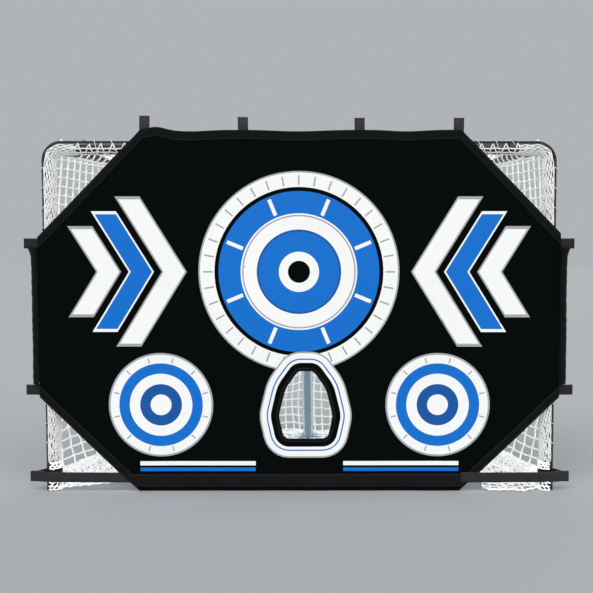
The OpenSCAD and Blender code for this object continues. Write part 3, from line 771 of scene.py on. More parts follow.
def floor_slack(strands, side, sizes, chance):
    """Spare netting that lies crumpled on the floor inside a front corner."""
    radius = sizes.twine_d / 2
    deep, wide = 13, 7
    grid = np.zeros((deep + 1, wide + 1, 3))
    for i, k in np.ndindex(deep + 1, wide + 1):
        d = 0.031 * i
        reach = 0.215 * (1 - 0.75 * i / deep)
        w = 0.030 + reach * k / wide
        x = POST_X - d * math.tan(SIDE_ANGLE) - w + jitter(chance, 0.012)
        bow = 0.048 * math.sin(math.pi * (k + 0.5) / (wide + 1)) * (1 - i / deep)
        if side < 0:
            bow = 0.010 - 0.55 * reach * k / wide
        y = GOAL_Y + d - bow + jitter(chance, 0.014) + 0.006 * math.sin(k * 1.9)
        heap = 0.5 + 0.5 * drift(i * 0.55, k * 0.7, 5.0 * side)
        z = radius + 0.001 + 0.030 * heap * chance.random() * (1 - 0.5 * k / wide)
        z = radius + (z - radius) * min(1.0, 0.3 + 0.35 * i)
        grid[i, k] = (side * x, y, z)
    for line in (*grid, *grid.transpose(1, 0, 2)):
        path, tips = slack_strand(line, [UP] * len(line), 0.0, chance)
        path[:, 2] += 0.004 * np.abs(np.sin(np.arange(len(path)) * 2.1))
        path[:, 2] = np.maximum(path[:, 2], radius + FLOOR_GAP)
        strands.add(path, tips, radius)


def foot_wrap(strands, side, sizes, chance):
    """The last meshes of a side net, bunched round its post under and over the foot strap."""
    radius = sizes.twine_d / 2
    lowest, count = radius + FLOOR_GAP, 13
    for heights, first in (((0.0045, 0.0180, 0.0320), -14),
                           ((0.0840, 0.0940, 0.1040, LACE_LOW.z), -10)):
        rows = []
        for z in heights:
            gap = 0.0034 if z < 0.05 else 0.0006
            row = []
            for i in range(count):
                angle = first + (160 - first) * i / (count - 1) + jitter(chance, 6)
                height = max(lowest, z + jitter(chance, 0.0055))
                row.append(post_place(side, height, math.radians(angle),
                                      TUBE_R + gap + radius + 0.003 * chance.random()))
            rows.append(row)
        slants = [[row[i + k] for k, row in enumerate(rows)]
                  for i in range(0, count + 1 - len(rows), 2)]
        for line in rows + slants:
            strands.add_pairs(line, radius * 0.8)


class GOAL_OT_wall_nets(bpy.types.Operator):
    """Knotted netting round the sides and the back, gathered round the ground tubes"""

    bl_idname = "goal.wall_nets"
    bl_label = "Wall Nets"

    def execute(self, context):
        sizes = context.scene.goal_netting
        twine = twisted_cord("Net Twine", context.scene.goal_colours.twine, 0.012)
        chance = random.Random(sizes.seed)
        knots = wall_points(sizes, chance)
        end, side_end = 2 * half_round(sizes), sizes.side_columns + 1
        for node, first, last, side in (("net_right", 0, side_end, 1),
                                        ("net_back", side_end, end - side_end, 0),
                                        ("net_left", end - side_end, end, -1)):
            picked = list(range(first, last + 1))
            piece = build_wall_net(node + "_mesh", knots, picked, side, sizes, chance)
            finish_piece(piece, twine, "netting", node)
        return {"FINISHED"}


class GOAL_OT_top_net(bpy.types.Operator):
    """Knotted netting over the top, laced to the upper tubes"""

    bl_idname = "goal.top_net"
    bl_label = "Top Net"

    def execute(self, context):
        sizes = context.scene.goal_netting
        twine = twisted_cord("Top Net Twine", context.scene.goal_colours.twine, 0.012)
        piece = build_top_net(sizes, random.Random(sizes.seed + 1))
        finish_piece(piece, twine, "netting", "net_top")
        return {"FINISHED"}


# ---- lacing ----


def bar_place(x, angle, far):
    """A place round the crossbar: angle 0 faces the front and a quarter turn is up."""
    tip = np.array([0.0, -math.cos(angle), math.sin(angle)])
    return np.array([x, GOAL_Y, BAR_Z]) + far * tip, tip


def post_place(side, z, angle, far):
    """A place round a post: angle 0 faces the front and a quarter turn is inward."""
    tip = np.array([-side * math.sin(angle), -math.cos(angle), 0.0])
    return np.array([side * POST_X, GOAL_Y, z]) + far * tip, tip


# The bend of the posts' top corners
CORNER_R = 0.050
CORNER_Z = BAR_Z - CORNER_R
CORNER_LENGTH = CORNER_R * math.pi / 2


def frame_place(side, run, angle, far):
    """A place up a post, round its corner and on along the crossbar; angle 0 faces the front."""
    if run <= CORNER_Z:
        axis, inward = (side * POST_X, run), (-side, 0.0)
    elif run <= CORNER_Z + CORNER_LENGTH:
        turn = (run - CORNER_Z) / CORNER_R
        inward = (-side * math.cos(turn), -math.sin(turn))
        axis = (side * (POST_X - CORNER_R) - CORNER_R * inward[0],
                CORNER_Z - CORNER_R * inward[1])
    else:
        beyond = run - CORNER_Z - CORNER_LENGTH
        axis, inward = (side * (POST_X - CORNER_R - beyond), BAR_Z), (0.0, -1.0)
    tip = np.array([inward[0] * math.sin(angle), -math.cos(angle), inward[1] * math.sin(angle)])
    return np.array([axis[0], GOAL_Y, axis[1]]) + far * tip, tip


def wound(strands, place_at, start, pitch, turns, hand, first_angle, far, cord_angle, cord_d,
          radius, chance):
    """Cord wound round a tube, which rises over the border cord at cord_angle."""
    steps = 20
    pairs = []
    for i in range(turns * steps + 1):
        share = i / steps
        if i % steps == 0:
            lean = jitter(chance, 0.22)
        angle = first_angle + hand * TURN * share
        apart = (angle - cord_angle + math.pi) % TURN - math.pi
        swing = pitch * lean * math.sin(math.pi * (share % 1.0))
        pairs.append(place_at(start + pitch * share + swing, angle,
                              far + cord_d * bell(apart, 0.0, 0.30)))
    strands.add_pairs(pairs, radius)


def border_cord(strands, place_at, start, end, angle, far, radius, waver, seed):
    """A cord that runs along a tube with a slight waver round it."""
    count = max(8, int(abs(end - start) / 0.012))
    pairs = []
    for i in range(count + 1):
        along = start + (end - start) * i / count
        turn = angle + waver * drift(along * 17.0, seed, 0.0)
        turn += waver * 0.6 * math.sin(along * TURN / 0.0465 + seed)
        pairs.append(place_at(along, turn, far))
    strands.add_pairs(pairs, radius)


LACE_INSET = 0.004
BAR_TURNS = 26
POST_TURNS = 15


class GOAL_OT_lacing(bpy.types.Operator):
    """White cord that laces the netting to the crossbar and the posts"""

    bl_idname = "goal.lacing"
    bl_label = "Lacing"

    def execute(self, context):
        sizes = context.scene.goal_netting
        cord = twisted_cord("Lacing Cord", context.scene.goal_colours.twine, 0.010)
        radius = sizes.lace_d / 2
        close = TUBE_R + radius + 0.0003
        lace = self.crossbar(random.Random(sizes.seed + 2), radius, close)
        finish_piece(lace.piece("crossbar_lacing_cord"), cord, "lacing_cord", "crossbar_lacing")
        for side, hand in SIDES:
            node = hand + "_post_lacing"
            lace = self.post(random.Random(sizes.seed + 3 + side), radius, close, side)
            finish_piece(lace.piece(node + "_cord"), cord, "lacing_cord", node)
        return {"FINISHED"}

    def crossbar(self, chance, radius, close):
        strands = Strands()
        half = BAR_LACE_X - LACE_INSET
        pitch = 2 * half / BAR_TURNS
        cord_angle = math.radians(-15)
        border_cord(strands, bar_place, -half - 0.012, half + 0.012, cord_angle,
                    TUBE_R + radius * 1.3, radius * 1.25, 0.05, 3.0)
        self.loops(strands, half, radius, close, chance)
        wound(strands, bar_place, -half + pitch * 0.36, pitch, BAR_TURNS - 1, -1,
              cord_angle + 0.5, close + 0.0008, cord_angle, 0.0022, radius * 0.52, chance)
        for degrees, seed in ((-46, 21.0), (-72, 24.1)):
            border_cord(strands, bar_place, -half, half, math.radians(degrees), close,
                        radius * 1.05, 0.10, seed)
        return strands

    def loops(self, strands, half, radius, close, chance):
        """Half meshes of the net's edge, from above the border cord down under the bar."""
        x = -half
        pairs = []
        upper = True
        while x < half:
            high = math.radians(24 + jitter(chance, 12))
            low = math.radians(-86 + jitter(chance, 14))
            first, last = (low, high) if upper else (high, low)
            step = 0.0175 + 0.008 * chance.random()
            for i in range(7):
                turn = first + (last - first) * (i / 7)
                rise = 0.0018 * bell(turn, -0.35, 0.25)
                pairs.append(bar_place(x + step * smooth_step(i / 7, -0.25, 1.25), turn,
                                       close + 0.0006 + rise))
            x += step
            upper = not upper
        strands.add_pairs(pairs, radius * 1.15)

    def post(self, chance, radius, close, side):
        strands = Strands()
        place_at = partial(post_place, side)
        low, high = LACE_LOW.z + LACE_INSET, LACE_HIGH.z - LACE_INSET
        pitch = (high - low) / POST_TURNS
        cord_angle = math.radians(-20)
        border_cord(strands, place_at, low, high, cord_angle, close, radius, 0.04, 5.0)
        for index, degrees in enumerate(range(-12, 122, 8)):
            end = high
            if degrees < 96:
                end = CORNER_Z + CORNER_LENGTH + 0.045 + 0.03 * chance.random()
            border_cord(strands, partial(frame_place, side), low, end, math.radians(degrees),
                        close, radius * 0.95, 0.11, 8.0 + 2.3 * index)
        wound(strands, place_at, low, pitch, POST_TURNS, 1, cord_angle, close, cord_angle,
              0.0024, radius * 0.6, chance)
        pitch /= 1.6
        for index in range(47):
            start = low + pitch * (0.5 * index + 0.3 * chance.random())
            climb, first = (1, 0) if index % 2 else (-1, 0.6 * pitch)
            loop = [place_at(start + 0.6 * pitch * i / 14 * climb + first,
                             math.radians(-22 + 142 * i / 14), close + 0.0012)
                    for i in range(15)]
            strands.add_pairs(loop, radius * 0.75)
        return strands


# ---- target panel ----


# Where the top straps pull the panel's upper edge flat, across from its middle
STRAP_PULLS = (0.222, 0.597)


def hang(x, z, lift=0.0):
    """Where a place on the flat panel hangs, lift metres in front of its middle."""
    free = 1 - smooth_step(abs(x), 0.80, 0.93)
    free *= 1 - smooth_step(z, 1.20, 1.28)
    ripple = drift(x * 2.3, z * 1.5, 0.7)
    folds = drift(x * 7.5, z * 2.2, 5.1)
    ahead = 0.0016 * (1 + ripple) + 0.0012 * (1 + folds) + free * 0.006 * ripple
    pull = sum(bell(abs(x), strap, 0.05) for strap in STRAP_PULLS)
    near_top = smooth_step(z, 1.16, 1.33)
    ahead += 0.0025 * near_top * (1 - min(1.0, pull))
    up = near_top * (0.011 * bell(x, -0.527, 0.045) - 0.006 * bell(abs(x), 0.40, 0.09)
                     - 0.006 * bell(x, 0.0, 0.13))
    near_side = smooth_step(abs(x), 0.90, 0.975)
    aside = near_side * 0.003 * drift(z * 9.0, math.copysign(3.0, x), 0.0)
    near_foot = 1 - smooth_step(z, 0.0, 0.08)
    up += near_foot * 0.0022 * (1 + drift(x * 5.0, 0.0, 2.0))
    return Vector((x + aside, PANEL_Y - lift - ahead, min(z + up, PANEL_HIGH.z + 0.012)))


def cut_corners(side=1):
    """Corners of one half of the panel's outline, from the foot upward, across counted outward."""
    half, low, high = PANEL_HIGH.x, PANEL_LOW.z, PANEL_HIGH.z
    return [
        (half - BOTTOM_CUT[0], low), (half, low + BOTTOM_CUT[1]),
        (half, high - TOP_CUT[side][1]), (half - TOP_CUT[side][0], high),
    ]


def panel_outline():
    return cut_corners() + [(-x, z) for x, z in reversed(cut_corners(-1))]


# The low opening, a blunt egg: its foot's middle, its height and width, and its corners as
# shares of width and height with a radius
HOLE_X, HOLE_Z, HOLE_H, HOLE_W = 0.024, 0.201, 0.258, 0.194
HOLE_CORNERS = (
    (0.43, 0.0, 0.026), (0.53, 0.34, 0.070), (0.40, 0.74, 0.120), (0.15, 1.0, 0.022),
    (-0.15, 1.0, 0.022), (-0.40, 0.74, 0.120), (-0.53, 0.34, 0.070), (-0.43, 0.0, 0.026),
)


def hole_outline(grow):
    """The low opening as a ring of points grown outward."""
    places = [Vector((HOLE_X + a * HOLE_W, HOLE_Z + b * HOLE_H)) for a, b, _ in HOLE_CORNERS]
    steps = 7
    ring = []
    for i, here in enumerate(places):
        radius = HOLE_CORNERS[i][2] + grow
        to_last = (places[i - 1] - here).normalized()
        to_next = (places[(i + 1) % len(places)] - here).normalized()
        bisector = (to_last + to_next).normalized()
        half = to_last.angle(to_next) / 2
        corner = here - bisector * grow / math.sin(half)
        middle = corner + bisector * radius / math.sin(half)
        start = corner + to_last * radius / math.tan(half) - middle
        end = corner + to_next * radius / math.tan(half) - middle
        first = math.atan2(start.y, start.x)
        sweep = (math.atan2(end.y, end.x) - first + math.pi) % TURN - math.pi
        for s in range(steps):
            turn = first + sweep * s / (steps - 1)
            ring.append((middle.x + radius * math.cos(turn), middle.y + radius * math.sin(turn)))
    return ring


def circle(x, z, radius, count=96):
    return [(x + radius * math.cos(TURN * i / count), z + radius * math.sin(TURN * i / count))
            for i in range(count)]


def chevron(x, z, high, thick, lean, side):
    """An arrow bar whose point looks toward the middle of the panel."""
    tip = lean * high / 2
    right = [(0, 0), (-tip, high / 2), (-tip - thick, high / 2), (-thick, 0),
             (-tip - thick, -high / 2), (-tip, -high / 2)]
    return [(side * (x - a), z + b) for a, b in right]


BLACK, WHITE, BLUE, DEEP, GREY = range(5)

# Rings from the outside in: share of the radius, and colour
MAIN_RINGS = (
    (1.0, GREY), (0.984, WHITE), (0.84, BLACK), (0.80, BLUE), (0.58, WHITE), (0.565, GREY),
    (0.55, WHITE), (0.42, DEEP), (0.40, BLUE), (0.20, WHITE), (0.11, BLACK),
)
SIDE_RINGS = (
    (1.0, GREY), (0.965, WHITE), (0.80, BLUE), (0.60, WHITE), (0.40, DEEP), (0.20, WHITE),
)

# Bands round the low opening, as growth and colour, and bars at the foot, as low, high and colour
HOLE_BANDS = ((0.072, GREY), (0.066, WHITE), (0.046, BLUE), (0.041, WHITE), (0.030, BLACK))
FOOT_BARS = ((0.100, 0.116, WHITE), (0.078, 0.092, BLUE))

# Chevrons on each side: point's distance from the middle, height and colour
CHEVRONS = ((0.425, 0.56, WHITE), (0.548, 0.45, BLUE), (0.671, 0.34, WHITE))
MAIN_Z = 0.830


def bullseye(x, z, radius, rings):
    return [(colour, circle(x, z, radius * share)) for share, colour in rings]


def ticks(x, z, near, far, count, first, width, colour):
    """Short bars that point out from a middle, evenly round it."""
    bars = []
    for k in range(count):
        turn = math.radians(360 / count * k + first)
        out = (math.cos(turn), math.sin(turn))
        across = (-out[1] * width / 2, out[0] * width / 2)
        bars.append((colour, [(x + out[0] * far_out + hand * across[0],
                               z + out[1] * far_out + hand * across[1])
                              for far_out, hand in ((near, 1), (far, 1), (far, -1), (near, -1))]))
    return bars


def print_design():
    """The printed target, drawn in order: each shape lies over those before it."""
    shapes = []
    for side in (-1, 1):
        for x, high, colour in CHEVRONS:
            rim = GREY if colour == WHITE else WHITE
            shapes.append((rim, chevron(x - 0.007, MAIN_Z, high, 0.094, 0.62, side)))
            shapes.append((colour, chevron(x, MAIN_Z, high - 0.022, 0.080, 0.62, side)))
        shapes += bullseye(side * 0.520, 0.330, 0.196, SIDE_RINGS)
        shapes += ticks(side * 0.520, 0.330, 0.161, 0.182, 12, 15, 0.005, GREY)
    shapes += bullseye(0.0, MAIN_Z, 0.375, MAIN_RINGS)
    shapes += ticks(0.0, MAIN_Z, 0.322, 0.358, 36, 0, 0.006, GREY)
    shapes += ticks(0.0, MAIN_Z, 0.226, 0.290, 8, 22.5, 0.014, WHITE)
    shapes += [(colour, hole_outline(grow)) for grow, colour in HOLE_BANDS]
    for side in (-1, 1):
        shapes += [(colour, [(side * x, z) for x, z in ((0.165, low), (0.600, low),
                                                        (0.600, high), (0.165, high))])
                   for low, high, colour in FOOT_BARS]
    return shapes


def inside(places, outline):
    """For each place, whether it lies inside an outline."""
    x, z = places[:, 0], places[:, 1]
    odd = np.zeros(len(places), dtype=bool)
    for (ax, az), (bx, bz) in zip(outline, outline[1:] + outline[:1]):
        if az == bz:
            continue
        spans = (az > z) != (bz > z)
        odd ^= spans & (x < (bx - ax) * (z - az) / (bz - az) + ax)
    return odd


def split_outline(outline, step):
    """An outline with long sides split into short ones."""
    ring = []
    for (ax, az), (bx, bz) in zip(outline, outline[1:] + outline[:1]):
        parts = max(1, round(math.hypot(bx - ax, bz - az) / step))
        ring += [(ax + (bx - ax) * i / parts, az + (bz - az) * i / parts) for i in range(parts)]
    return ring


def flat_panel(step, shapes):
    """Triangles of the flat panel, with an edge along every border of the print."""
    hole = hole_outline(0.0)
    rings = [split_outline(panel_outline(), step), hole]
    rings += [split_outline(shape, 0.03) for colour, shape in shapes]
    points, edges = [], []
    for ring in rings:
        first = len(points)
        points += ring
        edges += [(first + i, first + (i + 1) % len(ring)) for i in range(len(ring))]
    across = int(2 * PANEL_HIGH.x / step)
    up = int((PANEL_HIGH.z - PANEL_LOW.z) / step)
    grid = np.array([((i + 0.5 * (j % 2)) * step - PANEL_HIGH.x, PANEL_LOW.z + (j + 0.5) * step)
                     for i in range(across + 1) for j in range(up + 1)])
    kept = inside(grid, [(x * 0.995, z) for x, z in panel_outline()]) & ~inside(grid, hole)
    points += [tuple(p) for p in grid[kept]]
    result = delaunay_2d_cdt([Vector(p) for p in points], edges, [], 1, 1e-6)
    corners = np.array([(v.x, v.y) for v in result[0]])
    triangles = np.array(result[2])
    return corners, triangles[~inside(corners[triangles].mean(axis=1), hole)]


PANEL_THREAD = 0.0016


class GOAL_OT_target_panel(bpy.types.Operator):
    """Black fabric panel with its printed target and its low opening"""

    bl_idname = "goal.target_panel"
    bl_label = "Target Panel"

    def execute(self, context):
        sizes = context.scene.goal_target
        colours = context.scene.goal_colours
        shapes = print_design()
        corners, triangles = flat_panel(sizes.mesh_step, shapes)
        middles = corners[triangles].mean(axis=1)
        inks = np.full(len(triangles), BLACK)
        for colour, shape in shapes:
            inks[inside(middles, shape)] = colour
        panel = object_from("target_panel_cloth", [hang(x, z) for x, z in corners],
                            triangles.tolist(), corners[triangles].reshape(-1, 2))
        panel.data.polygons.foreach_set("material_index", inks)
        black = woven_cloth("Black Cloth", colours.fabric, PANEL_THREAD)
        printed = [woven_cloth(name, ink, PANEL_THREAD, 0.0, 0.62, 0.2, 0.22) for name, ink in (
            ("White Print", colours.ink_white), ("Blue Print", colours.ink_blue),
            ("Deep Blue Print", colours.ink_deep), ("Grey Print", colours.ink_grey))]
        for cloth in (black, *printed, black):
            panel.data.materials.append(cloth)
        face_toward(panel, 0, -1)
        solidified(panel, sizes.cloth_t)
        self.black_back(panel)
        finish_piece(panel, None, "target_fabric", "target_panel")
        return {"FINISHED"}

    def black_back(self, panel):
        """The print shows on the front only."""
        black = len(panel.data.materials) - 1
        for face in panel.data.polygons:
            if face.normal.y > -0.2:
                face.material_index = black


# ---- trims of the panel ----


def lerp_place(a, b, t):
    return (a[0] + (b[0] - a[0]) * t, a[1] + (b[1] - a[1]) * t)


def trim_strip(name, low, high, sizes, pucker, wrap_edge=0.0):
    """A strip from the low line to the high line, which follows the hanging panel."""
    long = max(math.dist(*low), math.dist(*high))
    wide = math.dist(low[0], high[0])
    count = max(12, int(long / 0.009))
    across = 7
    rows = []
    for i in range(count + 1):
        s = i / count
        a, b = lerp_place(*low, s), lerp_place(*high, s)
        row = []
        for k in range(across + 1):
            t = k / across
            gather = math.sin(s * long * TURN / 0.021 + 2.0 * t)
            gather += drift(s * long * 60, t * 2, 1.0)
            swell = pucker * (0.5 + 0.5 * gather) * math.sin(math.pi * t)
            row.append((hang(*lerp_place(a, b, t), sizes.trim_lift + swell), s * long, t * wide))
        if wrap_edge:
            rim = lerp_place(a, b, 1 + wrap_edge / wide)
            row += [(hang(*rim, sizes.trim_lift * lift), s * long, wide + turns * wrap_edge)
                    for turns, lift in ((1, 0.55), (2, -0.35))]
        rows.append(row)
    strip = sheet_grid(name, rows)
    face_toward(strip, 0, -1)
    return solidified(strip, sizes.trim_t)


def diagonal(first, second, inset):
    """A panel edge moved inward, toward the middle of the panel."""
    dx, dz = second[0] - first[0], second[1] - first[1]
    long = math.hypot(dx, dz)
    nx, nz = -dz / long, dx / long
    return ((first[0] + nx * inset, first[1] + nz * inset),
            (second[0] + nx * inset, second[1] + nz * inset))


def cut_at(line, x=None, z=None):
    """Where a line meets an upright or a level."""
    (ax, az), (bx, bz) = line
    t = (x - ax) / (bx - ax) if x is not None else (z - az) / (bz - az)
    return (ax + (bx - ax) * t, az + (bz - az) * t)


HEM_W = 0.034
BINDING_W = 0.029
HOLE_BINDING_W = 0.012
TRIM_GAP = 0.0003
HEM_ROLL = 0.0012
STITCH_R = 0.00045

# The ring round the low opening: how far each turn stands outside the hole, and its lift
HOLE_ROLL = ((HOLE_BINDING_W, 1.0), (0.008, 1.25), (0.004, 1.25), (0.0003, 1.0), (-0.0012, 0.0))
BAND_Z = (0.017, 0.067)


def trim_lines(side=1):
    """Inner and outer lines of the trims on one half, across counted outward."""
    foot_a, foot_b, top_a, top_b = cut_corners(side)
    half = PANEL_HIGH.x
    hem_low = PANEL_HIGH.z - HEM_W
    top_in = diagonal(top_a, top_b, BINDING_W)
    foot_in = diagonal(foot_a, foot_b, BINDING_W)
    top_edge, foot_edge = (top_a, top_b), (foot_a, foot_b)
    band_low, band_high = BAND_Z
    return {
        "top_binding": ((cut_at(top_in, x=half), cut_at(top_in, z=hem_low - TRIM_GAP)),
                        (top_a, cut_at(top_edge, z=hem_low - TRIM_GAP))),
        "bottom_binding": ((cut_at(foot_in, z=band_high + TRIM_GAP), cut_at(foot_in, x=half)),
                           (cut_at(foot_edge, z=band_high + TRIM_GAP), foot_b)),
        "hem_end": (cut_at(top_edge, z=hem_low), top_b),
        "band_end": (cut_at(foot_edge, z=band_low), cut_at(foot_edge, z=band_high)),
    }


def binding_lines(key, side):
    """Inner and outer lines of a corner binding, on its own side of the panel."""
    return [tuple((side * x, z) for x, z in line) for line in trim_lines(side)[key]]


def between(lines, share):
    """The line at a share of the way from the first line to the second."""
    low, high = lines
    return lerp_place(low[0], high[0], share), lerp_place(low[1], high[1], share)


def across_lines(key):
    """Low and high lines of a trim that runs the whole way across."""
    low, high = trim_lines()[key]
    far_low, far_high = trim_lines(-1)[key]
    return ((-far_low[0], far_low[1]), low), ((-far_high[0], far_high[1]), high)


class GOAL_OT_panel_trims(bpy.types.Operator):
    """Top hem, bottom band, corner bindings and the ring sewn round the low opening"""

    bl_idname = "goal.panel_trims"
    bl_label = "Panel Trims"

    def execute(self, context):
        sizes = context.scene.goal_target
        colours = context.scene.goal_colours
        hem = woven_cloth("Hem Cloth", colours.hem, 0.0012, 0.05, 0.7)
        band = woven_cloth("Band Cloth", shade(colours.webbing, 0.62), 0.0020, 0.08, 0.66)
        piece = trim_strip("top_hem_cloth", *across_lines("hem_end"), sizes, 0.0012, HEM_ROLL)
        finish_piece(piece, hem, "hem_fabric", "top_hem")
        piece = trim_strip("bottom_band_cloth", *across_lines("band_end"), sizes, 0.0008)
        finish_piece(piece, band, "webbing", "bottom_band")
        for end in ("top", "bottom"):
            for side, hand in SIDES:
                node = "binding_%s_%s" % (end, hand)
                lines = binding_lines(end + "_binding", side)
                piece = trim_strip(node + "_tape", *lines, sizes, 0.0013, HEM_ROLL)
                finish_piece(piece, hem, "hem_fabric", node)
        finish_piece(self.hole_ring(sizes), hem, "hem_fabric", "low_hole_binding")
        finish_piece(self.stitching(sizes), sewing_thread(), "hem_fabric")
        return {"FINISHED"}

    def hole_ring(self, sizes):
        """The binding round the low opening, rolled over the edge."""
        turns = [(hole_outline(grow), lift) for grow, lift in HOLE_ROLL]
        rows = []
        length = 0.0
        for i in range(len(turns[0][0])):
            if i:
                length += math.dist(turns[2][0][i], turns[2][0][i - 1])
            rows.append([(hang(*ring[i], sizes.trim_lift * lift), length, 0.003 * k)
                         for k, (ring, lift) in enumerate(turns)])
        tape = sheet_grid("low_hole_binding_tape", rows, wrap=True)
        face_toward(tape, 0, -1)
        return solidified(tape, sizes.trim_t)

    def stitching(self, sizes):
        """Rows of stitches along both edges of each trim."""
        strands = Strands(sides=4)
        runs = [between(binding_lines(key, side), share) for side in (1, -1)
                for key in ("top_binding", "bottom_binding") for share in (0.10, 0.86)]
        runs += [between(across_lines(key), share)
                 for key, share in (("hem_end", 0.10), ("band_end", 0.08), ("band_end", 0.92))]
        round_hole = hole_outline(HOLE_BINDING_W - 0.002)
        for line in (*runs, round_hole + round_hole[:1]):
            self.stitch_line(strands, line, sizes)
        return strands.piece("panel_stitching")

    def stitch_line(self, strands, line, sizes):
        lift = sizes.trim_lift + sizes.trim_t / 2 + 0.0004
        for a, b in zip(line, line[1:]):
            count = max(1, round(math.dist(a, b) / (sizes.stitch + sizes.stitch_gap)))
            for i in range(count):
                first = lerp_place(a, b, (i + 0.18) / count)
                last = lerp_place(a, b, (i + 0.82) / count)
                middle = lerp_place(first, last, 0.5)
                path = [hang(*first, lift - 0.0004), hang(*middle, lift),
                        hang(*last, lift - 0.0004)]
                strands.add(path, (0.0, -1.0, 0.0), STITCH_R)


# ---- side flaps and straps ----


FLAP_REACH = 0.035
FLAP_T = 0.0012


class GOAL_OT_side_flaps(bpy.types.Operator):
    """Gathered fabric that wraps round the outside of each post"""

    bl_idname = "goal.side_flaps"
    bl_label = "Side Flaps"

    def execute(self, context):
        colours = context.scene.goal_colours
        cloth = woven_cloth("Flap Cloth", shade(colours.hem, 0.9), 0.0014, 0.06, 0.72)
        for side, hand in SIDES:
            node = hand + "_flap"
            flap = self.flap(side, node)
            finish_piece(flap, cloth, "target_fabric", node)
        return {"FINISHED"}

    def flap(self, side, node):
        low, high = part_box(node)
        middle_x, middle_y = PANEL_HIGH.x - 0.003, GOAL_Y - 0.005
        first, last = math.radians(-84), math.radians(96)
        count, around = 110, 16
        rows = []
        for i in range(count + 1):
            s = i / count
            z = low.z + (high.z + 0.006 - low.z) * s
            row = []
            for k in range(around + 1):
                t = k / around
                angle = first + (last - first) * t
                gather = math.sin(z * TURN / 0.043 + 1.4 * math.sin(z * 31))
                gather += 0.7 * drift(z * 55, side * 4.0, t * 1.5)
                far = FLAP_REACH + 0.0006 * gather * math.sin(math.pi * t) ** 0.7
                far += 0.0025 * drift(z * 6, side * 2.0, t * 3)
                far += 0.010 * math.exp(-(high.z - z) / 0.022)
                slip = 0.003 * math.sin(z * TURN / 0.057) * t
                place = (side * (middle_x + far * math.cos(angle)),
                         middle_y + far * math.sin(angle), z + slip)
                row.append((place, s * (high.z - low.z), t * 0.097))
            rows.append(row)
        flap = sheet_grid(node + "_cloth", rows)
        face_toward(flap, side, 0, len(flap.data.polygons) // 2)
        return solidified(flap, FLAP_T)


STRAP_IN_R = 0.0321
RIB = 0.0032
FOOT_STRAP_Z = 0.054
FOOT_SLOPE = math.tan(math.radians(5))

# Top straps from left to right: side, lean, shift across and rise of the tail's end
TOP_STRAPS = (
    ("top_strap_outer_left", -1, -0.6, 0.021, 0.008),
    ("top_strap_inner_left", -1, 1, 0.0155, 0.003),
    ("top_strap_inner_right", 1, -0.6, 0.005, 0.0),
    ("top_strap_outer_right", 1, 1, -0.003, 0.0),
)


def strap_line(tail_end, thick, flare):
    """The run of a strap seen along its width: tail, loop round the tube, and tail again."""
    radius = STRAP_IN_R + thick / 2
    reach, lean = radius * 1.75, math.radians(-18)
    grip = math.acos(radius / reach)
    loop = []
    for i in range(31):
        turn = grip + (TURN - 2 * grip) * i / 30 + lean
        loop.append((radius * math.cos(turn), radius * math.sin(turn)))
    start = reach * math.cos(lean) + 0.002
    level = reach * math.sin(lean)
    back, front = [], []
    for i in range(10):
        a = start + (tail_end - reach * math.cos(lean) - 0.002) * i / 9
        spread = flare * (i / 9) ** 2
        wave = 0.0008 * math.sin(i * 1.1)
        back.append((a, level + thick * 0.52 + spread + wave))
        front.append((a, level - thick * 0.52 - spread * 0.4 + wave))
    return back[::-1] + loop + front


def ribbon(name, places, across, sizes):
    """Webbing along places; across is the direction of its width."""
    columns = 6
    rows = []
    length = 0.0
    for i, place in enumerate(places):
        if i:
            length += math.dist(place, places[i - 1])
        offsets = [(k / columns - 0.5) * sizes.strap_w for k in range(columns + 1)]
        rows.append([(np.asarray(place) + offset * np.asarray(across), length, offset)
                     for offset in offsets])
    return solidified(sheet_grid(name, rows), sizes.strap_t)


